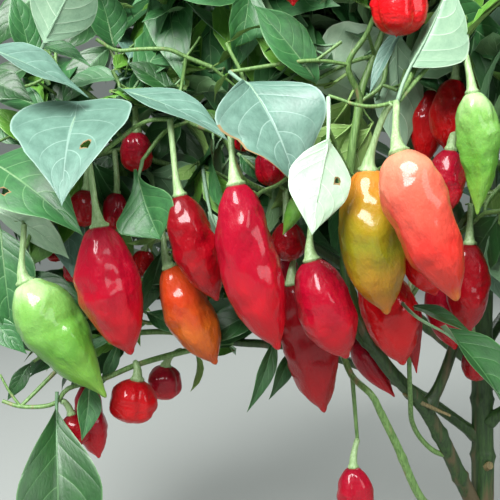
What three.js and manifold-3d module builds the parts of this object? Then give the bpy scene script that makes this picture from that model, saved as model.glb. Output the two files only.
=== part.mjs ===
// Chilli pepper plant, rooted in the ground: a green trunk that turns woody at its foot, tapering boughs that
// fork from it, and masses of foliage. Each mass is one closed solid of twigs, leaves and hanging fruits.
// Millimetres, +Z up. The origin is the centre of the flat cut under the trunk, at ground level, and the side
// where the ripe fruits hang in full view faces -Y.
import * as THREE from "three";
import { mergeVertices } from "three/addons/utils/BufferGeometryUtils.js";
import Module from "manifold-3d";

const wasm = await Module();
wasm.setup();

// The joints between limbs, and the clearance of twigs and leaves
const SEAT_GAP = 0.3; // between a limb and what it grows from
const CLEARANCE = { limb: 2.5, fruit: 2, space: 0.035 }; // the last is a share of a mass's reach

// The limbs: how many sides they have, the length of one ring, and the trunk's flare at the ground
const LIMB_SIDES = 7;
const LIMB_STEP = 34;
const FLARE = { height: 34, extra: 7 };
const BELOW_GROUND = 12; // how far the trunk is drawn past the ground before it is cut level there

// The twigs: their radii, what each fork leaves of them, and how far they run towards what they carry
const TWIG = { sides: 3, start: 2.2, end: 1.4, taper: 0.86, rooted: 0.55 };
const STEM_RUN = 12; // from a limb's tip to the first fork of its mass
const FORK_SHARES = [0.52, 0.4, 0.66, 0.26]; // the first of these that misses the limbs is taken
const FOLIAGE_REACH = 0.62; // share of a mass's reach in which its twigs end
const LONELIEST_OF = 10; // places drawn for each end of a twig
const ROUNDS_PER_END = 5; // and how often they may be drawn again
const LOOKED_AT = [0.3, 0.5, 0.7, 0.9, 1]; // shares of a twig's run that have to be clear of the limbs

// The leaves: length, width as a share of it, the keel's depth, where the blade is widest and how far it is
// arched there as shares of the length, the petiole's length and its radius
const LEAF = {
  least: 70,
  most: 94,
  slimness: 0.6,
  keel: 2.2,
  widest: 0.4,
  arch: 0.08,
  petiole: 14,
  thin: 0.55,
};
const LEAF_WAY = { outward: 0.45, droop: 0.3, faceUp: 0.6 };
const LEAF_TRIES = 12;
const LEAVES_AT = { last: [1, 0.7, 0.4], between: [0.5] }; // shares of a twig's last run and of its others
const ROOT_REACH = 5; // how far round its root a leaf may meet the rest of its mass

// The fruits: their sides, the lengths and slimness of those that grow by rule, how far the middle bows
// forward as a share of the length, and how far they lean as a share of their drop. The outline gives the
// radius as a share of the width, by shares of the way from the shoulder to the tip.
const FRUIT = { shownSides: 5, hungSides: 4, least: 46, most: 78, slimness: 0.42, bow: 0.06, lean: 0.2 };
const FRUIT_OUTLINE = [[0.47, 0.18], [0.5, 0.42], [0.33, 0.76], [0, 1]];
const STALK = { rise: 26, back: 8, radius: 1.5, calyx: 3.4 };

// The trunk and the boughs, each after its parent: the radius at both ends, and the bends of the middle line
const LIMBS = {
  trunk: { radii: [8.6, 6.2], path: [[0, 0, 0], [1, 1, 70], [-1, 2, 160], [0, 5, 240]] },
  left_bough: {
    radii: [5.6, 3.4],
    path: [[0, 1, 40], [-18, -14, 74], [-50, -36, 132], [-84, -52, 172], [-106, -56, 220], [-104, -46, 262]],
  },
  left_fork_bough: {
    radii: [4, 2.8],
    path: [[-50, -36, 132], [-40, -34, 150], [-30, -34, 180], [-24, -40, 208]],
  },
  front_left_bough: {
    radii: [3.6, 2.6],
    path: [[-88, -53, 178], [-112, -46, 200], [-134, -38, 232], [-148, -36, 264]],
  },
  low_shoot: {
    radii: [3, 2.4],
    path: [[1, 1, 24], [-30, -34, 50], [-56, -52, 78], [-74, -62, 116], [-86, -68, 140]],
  },
  low_left_bough: {
    radii: [4.2, 2.8],
    path: [[0, 2, 100], [-60, 8, 140], [-130, 2, 166], [-180, -4, 172]],
  },
  far_left_bough: {
    radii: [4.6, 2.8],
    path: [[-1, 2, 150], [-70, 14, 205], [-140, 0, 250], [-196, -18, 284]],
  },
  back_left_bough: { radii: [4.4, 2.8], path: [[-1, 3, 182], [-28, 34, 205], [-62, 66, 232]] },
  right_front_bough: { radii: [4.4, 2.8], path: [[1, 1, 112], [34, -32, 150], [66, -62, 196]] },
  right_bough: { radii: [4.6, 2.8], path: [[-1, 2, 138], [56, -4, 190], [126, -12, 232]] },
  back_right_bough: { radii: [4.4, 2.8], path: [[-1, 3, 166], [34, 36, 198], [72, 70, 236]] },
  leader_bough: { radii: [5, 3], path: [[0, 5, 232], [6, 14, 300], [2, 22, 372], [6, 30, 442]] },
  upper_left_bough: { radii: [4.8, 2.8], path: [[0, 5, 226], [-34, 6, 290], [-70, 4, 344], [-98, 4, 384]] },
  upper_front_bough: { radii: [3.6, 2.6], path: [[5, 13, 292], [-10, -8, 334], [-28, -24, 376]] },
  upper_right_bough: { radii: [4.8, 2.8], path: [[0, 5, 218], [36, 6, 280], [66, 2, 330], [88, 0, 368]] },
};

// The masses of foliage, each on one limb's tip: the middle and reach of its space, how many twigs end in it
// besides those that carry what is listed below, and how many more fruits hang in it, if any
const MASSES = {
  far_left: { on: "far_left_bough", centre: [-272, -30, 318], reach: [88, 90, 98], ends: 6 },
  front_left: { on: "front_left_bough", centre: [-184, -58, 326], reach: [88, 80, 92], ends: 6 },
  front_centre: { on: "left_bough", centre: [-96, -72, 340], reach: [84, 74, 94], ends: 5 },
  front_right: { on: "left_fork_bough", centre: [-14, -84, 290], reach: [84, 80, 104], ends: 7 },
  low_front: { on: "low_shoot", centre: [-110, -72, 156], reach: [66, 50, 66], ends: 4 },
  low_left: { on: "low_left_bough", centre: [-246, 4, 190], reach: [98, 88, 76], ends: 8, fruits: 1 },
  back_left: { on: "back_left_bough", centre: [-136, 104, 292], reach: [128, 112, 126], ends: 9, fruits: 2 },
  back_right: { on: "back_right_bough", centre: [122, 118, 292], reach: [122, 112, 126], ends: 9, fruits: 3 },
  right: { on: "right_bough", centre: [216, -14, 276], reach: [116, 110, 118], ends: 9, fruits: 3 },
  right_front: {
    on: "right_front_bough", centre: [104, -106, 262], reach: [106, 96, 110], ends: 8, fruits: 3,
  },
  upper_left: { on: "upper_left_bough", centre: [-166, 16, 440], reach: [132, 124, 108], ends: 9, fruits: 2 },
  upper_front: {
    on: "upper_front_bough", centre: [-48, -66, 448], reach: [104, 98, 104], ends: 8, fruits: 1,
  },
  upper_right: {
    on: "upper_right_bough", centre: [124, -4, 428], reach: [124, 122, 112], ends: 9, fruits: 2,
  },
  top: { on: "leader_bough", centre: [12, 38, 530], reach: [126, 118, 112], ends: 10, fruits: 1 },
};

// The fruits that hang in full view, by mass: the middle of the shoulder, where the calyx sits, the way from
// there to the fruit's tip, and the width
const SHOWN_FRUITS = {
  far_left: [
    { shoulder: [-303, -75, 222], drop: [46, 0, -70], width: 34 },
    { shoulder: [-256, -95, 257], drop: [18, 0, -75], width: 36 },
    { shoulder: [-241, -45, 316], drop: [1, 0, -26], width: 20 },
  ],
  front_left: [
    { shoulder: [-209, -95, 275], drop: [22, 0, -61], width: 26 },
    { shoulder: [-218, -72, 231], drop: [29, 0, -60], width: 31 },
    { shoulder: [-176, -120, 281], drop: [24, 0, -91], width: 33 },
  ],
  front_centre: [
    { shoulder: [-133, -105, 238], drop: [21, 0, -56], width: 34 },
    { shoulder: [-142, -64, 220], drop: [21, 0, -81], width: 33 },
    { shoulder: [-103, -115, 289], drop: [12, 0, -80], width: 34 },
    { shoulder: [-93, -154, 297], drop: [31, 0, -75], width: 34 },
    { shoulder: [-94, -76, 235], drop: [20, 0, -63], width: 34 },
    { shoulder: [-87, -110, 394], drop: [0, 0, -31], width: 29 },
  ],
  front_right: [
    { shoulder: [-47, -120, 331], drop: [4, 0, -66], width: 23 },
    { shoulder: [-46, -80, 342], drop: [-5, 0, -41], width: 20 },
    { shoulder: [-51, -90, 302], drop: [-2, 0, -38], width: 22 },
    { shoulder: [-35, -76, 246], drop: [1, 0, -54], width: 25 },
    { shoulder: [-46, -50, 226], drop: [11, 0, -52], width: 24 },
  ],
  low_front: [
    { shoulder: [-95, -48, 180], drop: [24, 0, -41], width: 20 },
    { shoulder: [-100, -66, 98], drop: [3, 0, -38], width: 24 },
  ],
  low_left: [
    { shoulder: [-243, -40, 155], drop: [-7, 0, -31], width: 30 },
    { shoulder: [-229, 0, 150], drop: [-2, 0, -27], width: 26 },
    { shoulder: [-284, -50, 135], drop: [3, 0, -26], width: 22 },
  ],
};

// The leaves that stand in front of the rest, by mass: the foot and tip of the blade, its width, and the way
// that its upper side faces
const SHOWN_LEAVES = {
  far_left: [
    { foot: [-271, -85, 320], tip: [-264, -150, 268], width: 66, face: [0, -0.7, 0.7] },
    { foot: [-324, -58, 296], tip: [-263, -98, 252], width: 46, face: [0, -0.8, 0.6] },
    { foot: [-314, -90, 366], tip: [-256, -92, 336], width: 32, face: [0, -0.2, 1] },
    { foot: [-283, -82, 367], tip: [-249, -112, 414], width: 42, face: [0, 0.9, 0.3] },
  ],
  front_left: [
    { foot: [-243, -68, 338], tip: [-180, -112, 308], width: 36, face: [0.2, -0.4, 0.9] },
    { foot: [-190, -80, 262], tip: [-160, -92, 198], width: 30, face: [0.2, 0.9, 0.2] },
    { foot: [-160, -48, 204], tip: [-204, -58, 180], width: 32, face: [0, -0.7, 0.7] },
  ],
  front_centre: [
    { foot: [-167, -104, 338], tip: [-133, -146, 274], width: 52, face: [0, -0.8, 0.6] },
    { foot: [-127, -136, 300], tip: [-137, -142, 254], width: 32, face: [-0.1, -1, 0.2] },
    { foot: [-134, -70, 362], tip: [-176, -84, 388], width: 27, face: [0, 0.8, 0.6] },
    { foot: [-79, -122, 349], tip: [-54, -110, 404], width: 40, face: [-0.6, 0.7, 0.3] },
    { foot: [-90, -58, 379], tip: [-146, -72, 384], width: 44, face: [0, 0.9, 0.4] },
  ],
  front_right: [
    { foot: [-72, -136, 207], tip: [-34, -180, 160], width: 40, face: [0.3, -0.3, 0.9] },
    { foot: [-70, -90, 209], tip: [-28, -102, 194], width: 18, face: [0, -0.4, 0.9] },
  ],
  low_left: [
    { foot: [-288, -68, 125], tip: [-282, -92, 72], width: 52, face: [0, -0.9, 0.4] },
  ],
};

const FIRST_SEED = 11;
const COLOURS = { trunk: "#4c6b33", bough: "#55783a", foliage: "#3f8a3a" };

const vec = (x, y, z) => new THREE.Vector3(x, y, z);
const at = (values) => vec(...values);
const UP = vec(0, 0, 1);
const { lerp } = THREE.MathUtils;

// A fixed row of numbers between 0 and 1 for each seed
function draws(seed) {
  const modulus = 2147483647;
  const factor = 16807;
  const spacing = 7919;
  let state = seed * spacing;
  return () => {
    state = (state * factor) % modulus;
    return state / modulus;
  };
}

const drawnOffset = (draw) => vec(draw() - 0.5, draw() - 0.5, draw() - 0.5);

// A closed mesh as a solid that can be joined and cut, and the way back
const SAME_POINT = 1e-4;
function solidOf(geometry) {
  geometry.deleteAttribute("normal");
  geometry.deleteAttribute("uv");
  const merged = mergeVertices(geometry, SAME_POINT);
  const vertProperties = new Float32Array(merged.attributes.position.array);
  const triVerts = new Uint32Array(merged.index.array);
  return new wasm.Manifold(new wasm.Mesh({ numProp: 3, vertProperties, triVerts }));
}

function geometryOf(solid) {
  const { vertProperties, triVerts } = solid.getMesh();
  return new THREE.BufferGeometry()
    .setAttribute("position", new THREE.BufferAttribute(vertProperties, 3))
    .setIndex(new THREE.BufferAttribute(triVerts, 1));
}

const union = (solids) => wasm.Manifold.union(solids);
const isFree = (solid, others) => others.every((other) => other.intersect(solid).isEmpty());

function largest(solid) {
  return solid.decompose().reduce((best, part) => (part.volume() > best.volume() ? part : best));
}

// A frame at each point of a line: the way it runs, and two sides that turn no more than they must
function framesAlong(points) {
  let side = vec(1, 0, 0);
  return points.map((point, i) => {
    const before = points[Math.max(i - 1, 0)];
    const after = points[Math.min(i + 1, points.length - 1)];
    const run = after.clone().sub(before).normalize();
    side = side.clone().projectOnPlane(run).normalize();
    return { point, side, across: side.clone().cross(run) };
  });
}

// Bends a shape that stands on Y along a line of points: its foot goes to the first and its top to the last
function bent(shape, points, radiusAt) {
  const { position } = shape.translate(0, 0.5, 0).attributes;
  const frames = framesAlong(points);
  for (let i = 0; i < position.count; i += 1) {
    const index = Math.round(position.getY(i) * (points.length - 1));
    const { point, side, across } = frames[index];
    const radius = radiusAt(index);
    const moved = point
      .clone()
      .addScaledVector(side, position.getX(i) * radius)
      .addScaledVector(across, position.getZ(i) * radius);
    position.setXYZ(i, moved.x, moved.y, moved.z);
  }
  return solidOf(shape);
}

const limbCurve = (name) => new THREE.CatmullRomCurve3(LIMBS[name].path.map(at), false, "centripetal");

function limbPoints(name) {
  const curve = limbCurve(name);
  return curve.getSpacedPoints(Math.ceil(curve.getLength() / LIMB_STEP));
}

function limbSolid(name, room = 0) {
  const points = limbPoints(name);
  const { radii } = LIMBS[name];
  const shape = new THREE.CylinderGeometry(1, 1, 1, LIMB_SIDES, points.length - 1);
  return bent(shape, points, (index) => lerp(...radii, index / (points.length - 1)) + room);
}

// The trunk spreads into its flare and is cut level at the ground
function trunkSolid(room = 0) {
  const rise = limbPoints("trunk");
  const flareTop = rise.findIndex((point) => point.z > FLARE.height);
  const foot = [-BELOW_GROUND, 0, FLARE.height / 2].map((z) => vec(0, 0, z));
  const points = [...foot, ...rise.slice(flareTop)];
  const { radii } = LIMBS.trunk;
  const shape = new THREE.CylinderGeometry(1, 1, 1, LIMB_SIDES, points.length - 1);
  const flareAt = (z) => FLARE.extra * Math.max(0, 1 - z / FLARE.height) ** 2;
  const radiusAt = (index) => lerp(...radii, index / (points.length - 1)) + flareAt(points[index].z) + room;
  return bent(shape, points, radiusAt).trimByPlane([0, 0, 1], 0);
}

// Each limb is cut clear of those before it, so that it meets its parent across the seat gap
function limbSolids() {
  const room = SEAT_GAP / Math.cos(Math.PI / LIMB_SIDES);
  const made = [trunkSolid()];
  let taken = trunkSolid(room);
  for (const name of Object.keys(LIMBS).slice(1)) {
    made.push(largest(limbSolid(name).subtract(taken)));
    taken = taken.add(limbSolid(name, room));
  }
  return made;
}

// How far a point lies from the middle of a mass, as a share of its reach
function shareOfReach(mass, point) {
  return point.clone().sub(at(mass.centre)).divide(at(mass.reach)).length();
}

// A mass owns what is nearer to its own middle than to any other's, by these shares
function ownsPoint(mass, point, most) {
  const own = shareOfReach(mass, point) + CLEARANCE.space;
  const isOwn = (other) => other === mass || own < shareOfReach(other, point);
  return own <= most && Object.values(MASSES).every(isOwn);
}

function distanceToLine(point, from, to) {
  return new THREE.Line3(from, to).closestPointToPoint(point, true, vec(0, 0, 0)).distanceTo(point);
}

const limbLines = Object.keys(LIMBS).flatMap((name) => {
  const points = limbPoints(name);
  return points.slice(1).map((to, i) => ({ from: points[i], to, radius: LIMBS[name].radii[0] }));
});

function clearOfLimbs(point) {
  return limbLines.every((line) => distanceToLine(point, line.from, line.to) > line.radius + CLEARANCE.limb);
}

function lineClearOfLimbs(from, to) {
  return LOOKED_AT.every((share) => clearOfLimbs(from.clone().lerp(to, share)));
}

function clearOfFruits(point, fruits) {
  const room = (fruit) => fruit.width / 2 + CLEARANCE.fruit;
  return fruits.every((fruit) => distanceToLine(point, fruit.shoulder, fruit.tip) > room(fruit));
}

function fruitOf(shoulder, drop, width) {
  const stalk = shoulder.clone().add(vec(0, STALK.back, STALK.rise));
  return { stalk, shoulder, tip: shoulder.clone().add(drop), width };
}

const shownFruits = Object.entries(SHOWN_FRUITS).flatMap(([mass, fruits]) =>
  fruits.map(({ shoulder, drop, width }) => ({ mass, ...fruitOf(at(shoulder), at(drop), width) })),
);

// Evenly spread places for the ends of the twigs: each is the loneliest of a few that are drawn
function spreadEnds(mass, draw) {
  const rounds = mass.ends * ROUNDS_PER_END;
  const ends = [];
  for (let round = 0; ends.length < mass.ends && round < rounds; round += 1) {
    let best = null;
    let most = 0;
    for (let i = 0; i < LONELIEST_OF; i += 1) {
      const offset = drawnOffset(draw).multiplyScalar(2 * FOLIAGE_REACH);
      const point = offset.multiply(at(mass.reach)).add(at(mass.centre));
      const owned = ownsPoint(mass, point, FOLIAGE_REACH);
      const room = Math.min(...ends.map((end) => end.distanceTo(point)), Infinity);
      if (room > most && owned && clearOfLimbs(point) && clearOfFruits(point, shownFruits)) {
        best = point;
        most = room;
      }
    }
    if (best) ends.push(best);
  }
  return ends;
}

function middleOf(points) {
  return points.reduce((sum, point) => sum.add(point), vec(0, 0, 0)).divideScalar(points.length);
}

function halves(points) {
  const along = (axis) => points.map((point) => point[axis]);
  const spread = (axis) => Math.max(...along(axis)) - Math.min(...along(axis));
  const widest = ["x", "y", "z"].reduce((best, axis) => (spread(axis) > spread(best) ? axis : best));
  const sorted = [...points].sort((a, b) => a[widest] - b[widest]);
  const half = Math.floor(points.length / 2);
  return [sorted.slice(0, half), sorted.slice(half)];
}

// Each fork shares the ends beyond it between two twigs. The straighter one is the same twig going on, and
// the other is a new one. Every twig has its points and the radius at each. No end behind a limb is reached.
function growTwig(twig, ends, girth, twigs) {
  const from = twig.points.at(-1);
  if (ends.length === 1) {
    if (!lineClearOfLimbs(from, ends[0])) return;
    twig.points.push(ends[0]);
    twig.radii.push(TWIG.end);
    return;
  }
  const forks = FORK_SHARES.map((share) => from.clone().lerp(middleOf(ends), share));
  const fork = forks.find((point) => lineClearOfLimbs(from, point)) ?? forks[0];
  const next = Math.max(TWIG.end, girth * TWIG.taper);
  twig.points.push(fork);
  twig.radii.push(girth);
  const onward = fork.clone().sub(from).normalize();
  const straightness = (half) => middleOf(half).sub(fork).normalize().dot(onward);
  const [straight, aside] = halves(ends).sort((a, b) => straightness(b) - straightness(a));
  growTwig(twig, straight, next, twigs);
  const branch = { points: [fork], radii: [girth * TWIG.rooted] };
  twigs.push(branch);
  growTwig(branch, aside, next, twigs);
}

function twigSolid({ points, radii }) {
  const shape = new THREE.CylinderGeometry(1, 1, 1, TWIG.sides, points.length - 1);
  return bent(shape, points, (index) => radii[index]);
}

// A leaf's points: root on the twig, foot and tip of the blade, and its widest place with the edges there
function leafOf(root, foot, tip, width, face) {
  const run = tip.clone().sub(foot);
  const across = run.clone().cross(face).normalize();
  const upper = across.clone().cross(run).normalize();
  const arch = run.length() * LEAF.arch;
  const widest = foot.clone().addScaledVector(run, LEAF.widest).addScaledVector(upper, arch);
  const edges = [-1, 1].map((way) => widest.clone().addScaledVector(across, (way * width) / 2));
  return { root, foot, tip, widest, edges, across, upper };
}

// A three-sided leaf, flat above and keeled below: a petiole that spreads into the blade. A leaf whose blade
// starts at its root has no ring of its own for the foot.
function leafSolid({ root, foot, tip, widest, edges, across, upper }) {
  const thin = (point) => [
    point.clone().addScaledVector(upper, -LEAF.thin),
    point.clone().addScaledVector(upper, LEAF.thin / 2).addScaledVector(across, -LEAF.thin),
    point.clone().addScaledVector(upper, LEAF.thin / 2).addScaledVector(across, LEAF.thin),
  ];
  const keel = widest.clone().addScaledVector(upper, -LEAF.keel);
  const stalk = root.equals(foot) ? [thin(root)] : [thin(root), thin(foot)];
  const rings = [...stalk, [keel, ...edges]];
  const shape = new THREE.ConeGeometry(1, 1, TWIG.sides, rings.length);
  const { position } = shape.translate(0, 0.5, 0).attributes;
  for (let i = 0; i < position.count; i += 1) {
    const [x, y, z] = [position.getX(i), position.getY(i), position.getZ(i)];
    const turn = (Math.atan2(x, z) / (2 * Math.PI) + 1) * TWIG.sides;
    const onAxis = Math.hypot(x, z) < SAME_POINT;
    const side = y > 0.5 ? tip : root;
    const corner = onAxis ? side : rings[Math.round(y * rings.length)][Math.round(turn) % TWIG.sides];
    position.setXYZ(i, corner.x, corner.y, corner.z);
  }
  return solidOf(shape);
}

// A leaf turns its upper side outwards and hangs aslant
function drawnLeaf(mass, root, draw) {
  const out = root.clone().sub(at(mass.centre)).divide(at(mass.reach)).normalize();
  const aside = drawnOffset(draw).projectOnPlane(out).normalize();
  const way = aside.addScaledVector(out, LEAF_WAY.outward).addScaledVector(UP, -LEAF_WAY.droop).normalize();
  const length = lerp(LEAF.least, LEAF.most, draw());
  const face = out.clone().addScaledVector(UP, LEAF_WAY.faceUp).add(drawnOffset(draw));
  return leafOf(root, root, root.clone().addScaledVector(way, length), length * LEAF.slimness, face);
}

function leafHasRoom(mass, leaf, fruits) {
  const points = [leaf.widest, ...leaf.edges, leaf.widest.clone().lerp(leaf.tip, 0.5), leaf.tip];
  const inReach = (point) => shareOfReach(mass, point) < 1 && clearOfLimbs(point);
  const isOpen = (point) => inReach(point) && clearOfFruits(point, fruits);
  return ownsPoint(mass, leaf.widest, 1) && points.every(isOpen);
}

// Leaves sit along every twig, most of them on its last run. One run is from one point of it to the next.
function leafRoots({ points }) {
  return points.slice(1).flatMap((to, i) => {
    const shares = i === points.length - 2 ? LEAVES_AT.last : LEAVES_AT.between;
    return shares.map((share) => points[i].clone().lerp(to, share));
  });
}

// A fruit may hang lower than its mass's space, but over nobody else's
const HANG_REACH = 1.5;
function hungFruits(mass, forks, draw) {
  const hung = [];
  for (const fork of [...forks].sort((a, b) => a.z - b.z)) {
    const length = lerp(FRUIT.least, FRUIT.most, draw());
    const drop = drawnOffset(draw).multiplyScalar(2 * FRUIT.lean).setZ(-1).setLength(length);
    const fruit = fruitOf(fork.clone().sub(vec(0, STALK.back, STALK.rise)), drop, length * FRUIT.slimness);
    const line = new THREE.LineCurve3(fruit.shoulder, fruit.tip);
    const points = line.getPoints(4);
    const others = [...shownFruits, ...hung];
    const hangsFree = (point) => ownsPoint(mass, point, HANG_REACH) && clearOfLimbs(point);
    const isOpen = points.every((point) => hangsFree(point) && clearOfFruits(point, others));
    if (hung.length < (mass.fruits ?? 0) && isOpen) hung.push(fruit);
  }
  return hung;
}

// A fruit and its stalk, turned in one and bent: the first part of the outline is the stalk, from the twig to
// the calyx, and the rest is the body
function fruitSolid({ stalk, shoulder, tip, width }, sides) {
  const stalkSteps = 16;
  const bodySteps = 34;
  const stepAt = (share) => stalkSteps + Math.round(share * bodySteps);
  const body = FRUIT_OUTLINE.map(([wide, share]) => [wide * width, stepAt(share)]);
  const outline = [[0, 0], [STALK.radius, 0], [STALK.calyx, stalkSteps], ...body];
  const height = stalkSteps + bodySteps;
  const profile = outline.map(([radius, step]) => new THREE.Vector2(radius, step / height - 0.5));
  const bulge = shoulder.clone().lerp(tip, 0.5).add(vec(0, -FRUIT.bow * shoulder.distanceTo(tip), 0));
  const above = new THREE.LineCurve3(stalk, shoulder).getPoints(stalkSteps);
  const below = new THREE.QuadraticBezierCurve3(shoulder, bulge, tip).getPoints(bodySteps);
  return bent(new THREE.LatheGeometry(profile, sides), [...above, ...below.slice(1)], () => 1);
}

// The twigs of one mass: its stem starts across the seat gap from the limb's tip
function massTwigs(name, draw) {
  const mass = MASSES[name];
  const { radii, path } = LIMBS[mass.on];
  const heading = limbCurve(mass.on).getTangentAt(1);
  const start = at(path.at(-1)).addScaledVector(heading, SEAT_GAP);
  const firstFork = start.clone().addScaledVector(heading, STEM_RUN);
  const stem = { points: [start, firstFork], radii: [radii[1], TWIG.start] };
  const fruits = shownFruits.filter((fruit) => fruit.mass === name);
  const leaves = (SHOWN_LEAVES[name] ?? []).map(({ foot, tip, width, face }) => {
    const back = at(foot).sub(at(tip)).setLength(LEAF.petiole);
    return leafOf(at(foot).add(back), at(foot), at(tip), width, at(face));
  });
  const carrying = [...fruits.map((fruit) => fruit.stalk), ...leaves.map((leaf) => leaf.root)];
  const twigs = [stem];
  growTwig(stem, [...spreadEnds(mass, draw), ...carrying], TWIG.start, twigs);
  return { mass, draw, fruits, leaves, twigs, wood: union(twigs.map(twigSolid)) };
}

// What is listed by mass is added to its twigs first. A piece that would touch a limb or another mass is left
// out.
function withShown({ fruits, leaves, wood }, others) {
  const shown = fruits.map((fruit) => fruitSolid(fruit, FRUIT.shownSides));
  const pieces = [...shown, ...leaves.map(leafSolid)];
  return union([wood, ...pieces.filter((piece) => isFree(piece, others))]);
}

function meetsOnlyAt(root, solid, whole) {
  const shared = whole.intersect(solid);
  if (shared.isEmpty()) return false;
  const { min, max } = shared.boundingBox();
  return [at(min), at(max)].every((corner) => corner.distanceTo(root) < ROOT_REACH);
}

// Then come the fruits and leaves that grow by rule. A leaf that has no room is drawn again, then left out.
function withGrown({ mass, draw, twigs }, begun, others) {
  const forks = twigs.slice(1).map((twig) => twig.points[0]);
  const hung = hungFruits(mass, forks, draw);
  const hanging = [...shownFruits, ...hung];
  const fruits = hung.map((fruit) => fruitSolid(fruit, FRUIT.hungSides));
  let whole = union([begun, ...fruits.filter((fruit) => isFree(fruit, others))]);
  for (const root of twigs.flatMap(leafRoots)) {
    for (let tried = 0; tried < LEAF_TRIES; tried += 1) {
      const leaf = drawnLeaf(mass, root, draw);
      const solid = leafSolid(leaf);
      const fits = leafHasRoom(mass, leaf, hanging) && meetsOnlyAt(root, solid, whole);
      if (fits && isFree(solid, others)) {
        whole = whole.add(solid);
        break;
      }
    }
  }
  return largest(whole);
}

const plant = new THREE.Group();
plant.name = "chilli_pepper_plant";

function addNode(name, solid, colour) {
  const finish = new THREE.MeshStandardMaterial({ color: colour, roughness: 0.6, metalness: 0 });
  const mesh = new THREE.Mesh(geometryOf(solid), finish);
  mesh.name = name;
  plant.add(mesh);
}

const limbs = limbSolids();
for (const [i, name] of Object.keys(LIMBS).entries()) {
  addNode(name, limbs[i], name === "trunk" ? COLOURS.trunk : COLOURS.bough);
}

const grown = Object.keys(MASSES).map((name, i) => massTwigs(name, draws(FIRST_SEED + i)));
const masses = grown.map((one) => one.wood);
const besides = (i) => [...limbs, ...masses.filter((_, other) => other !== i)];
for (const [i, one] of grown.entries()) masses[i] = withShown(one, besides(i));
for (const [i, one] of grown.entries()) masses[i] = withGrown(one, masses[i], besides(i));
for (const [i, name] of Object.keys(MASSES).entries()) addNode(`${name}_foliage`, masses[i], COLOURS.foliage);

export default plant;
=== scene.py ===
# Chilli pepper plant in fruit: the looks of the whole plant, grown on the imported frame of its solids.
# Places and sizes are in millimetres, and each shape is made in metres. The ripe fruits hang on the -Y side.
import math

import bpy
import numpy as np
from mathutils import Matrix, Vector, noise


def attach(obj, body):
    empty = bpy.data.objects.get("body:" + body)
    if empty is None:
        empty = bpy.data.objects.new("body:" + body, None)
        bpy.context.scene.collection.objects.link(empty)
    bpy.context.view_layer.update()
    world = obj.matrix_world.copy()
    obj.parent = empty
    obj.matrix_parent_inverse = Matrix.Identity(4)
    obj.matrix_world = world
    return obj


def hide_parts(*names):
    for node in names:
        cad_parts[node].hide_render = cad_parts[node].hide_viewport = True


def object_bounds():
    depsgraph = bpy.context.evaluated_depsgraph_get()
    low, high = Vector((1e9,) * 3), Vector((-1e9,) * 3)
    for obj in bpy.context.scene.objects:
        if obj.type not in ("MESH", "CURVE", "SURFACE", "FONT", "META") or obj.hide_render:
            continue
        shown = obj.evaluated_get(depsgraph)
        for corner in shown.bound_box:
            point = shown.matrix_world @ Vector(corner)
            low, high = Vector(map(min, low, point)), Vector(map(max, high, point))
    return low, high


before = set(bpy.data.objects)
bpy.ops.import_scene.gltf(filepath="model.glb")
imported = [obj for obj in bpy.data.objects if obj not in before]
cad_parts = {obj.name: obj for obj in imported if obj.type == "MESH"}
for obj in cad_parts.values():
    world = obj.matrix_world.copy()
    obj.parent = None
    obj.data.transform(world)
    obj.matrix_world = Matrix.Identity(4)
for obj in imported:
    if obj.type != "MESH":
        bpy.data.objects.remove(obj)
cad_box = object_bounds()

# The view stands half a metre in front of the fruits and looks down on them very slightly. The plant is lit
# like a studio piece, by a broad lamp from the upper left, a weak one from the right, one from behind and a
# pale room around it. It stands on a plain pale floor that bends up all around into a sloping wall.
MM = 0.001
EYE = (-168, -540, 275)
PITCH = -4.0
FIELD_OF_VIEW = 36.26
LAMPS = {  # place, width, watts
    "key_lamp": ((-560, -900, 1250), 900, 46),
    "fill_lamp": ((1000, -1250, 850), 1000, 10),
    "back_lamp": ((200, 1000, 1200), 900, 16),
}
LAMP_TARGET = Vector((-60, 0, 300)) * MM
ROOM = {"colour": "#e2eef0", "strength": 0.46}
BACKDROP = {"floor": 1700, "bend": 1300, "bend end": 70, "bend steps": 14, "rim": (3500, 2200), "sides": 72}
BACKDROP_GREY = "#979b97"
NEAREST_SEEN = 10


def linear(colour):
    """The linear colour of an sRGB hex value."""
    parts = [int(colour[i : i + 2], 16) / 255 for i in (1, 3, 5)]
    return (*(c / 12.92 if c <= 0.04045 else ((c + 0.055) / 1.055) ** 2.4 for c in parts), 1.0)


def finish_of(name, **constants):
    """A material of one Principled shader with its own constants set, and that shader."""
    material = bpy.data.materials.new(name)
    material.use_nodes = True
    shader = material.node_tree.nodes["Principled BSDF"]
    for socket, value in constants.items():
        shader.inputs[socket.replace("_", " ")].default_value = value
    return material, shader


def in_scene(name, data):
    thing = bpy.data.objects.new(name, data)
    bpy.context.scene.collection.objects.link(thing)
    return thing


camera = in_scene("photo_view", bpy.data.cameras.new("photo_view"))
camera.data.angle = math.radians(FIELD_OF_VIEW)
camera.data.clip_start = NEAREST_SEEN * MM
camera.location = Vector(EYE) * MM
camera.rotation_euler = (math.radians(90 + PITCH), 0, 0)
bpy.context.scene.camera = camera
bpy.context.scene.view_settings.view_transform = "Standard"

for name, (place, width, watts) in LAMPS.items():
    lamp = in_scene(name, bpy.data.lights.new(name, "AREA"))
    lamp.data.shape = "DISK"
    lamp.data.size = width * MM
    lamp.data.energy = watts
    lamp.location = Vector(place) * MM
    lamp.rotation_euler = (LAMP_TARGET - lamp.location).to_track_quat("-Z", "Y").to_euler()

room = bpy.data.worlds.new("pale_room")
room.use_nodes = True
room.node_tree.nodes["Background"].inputs["Color"].default_value = linear(ROOM["colour"])
room.node_tree.nodes["Background"].inputs["Strength"].default_value = ROOM["strength"]
bpy.context.scene.world = room

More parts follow.
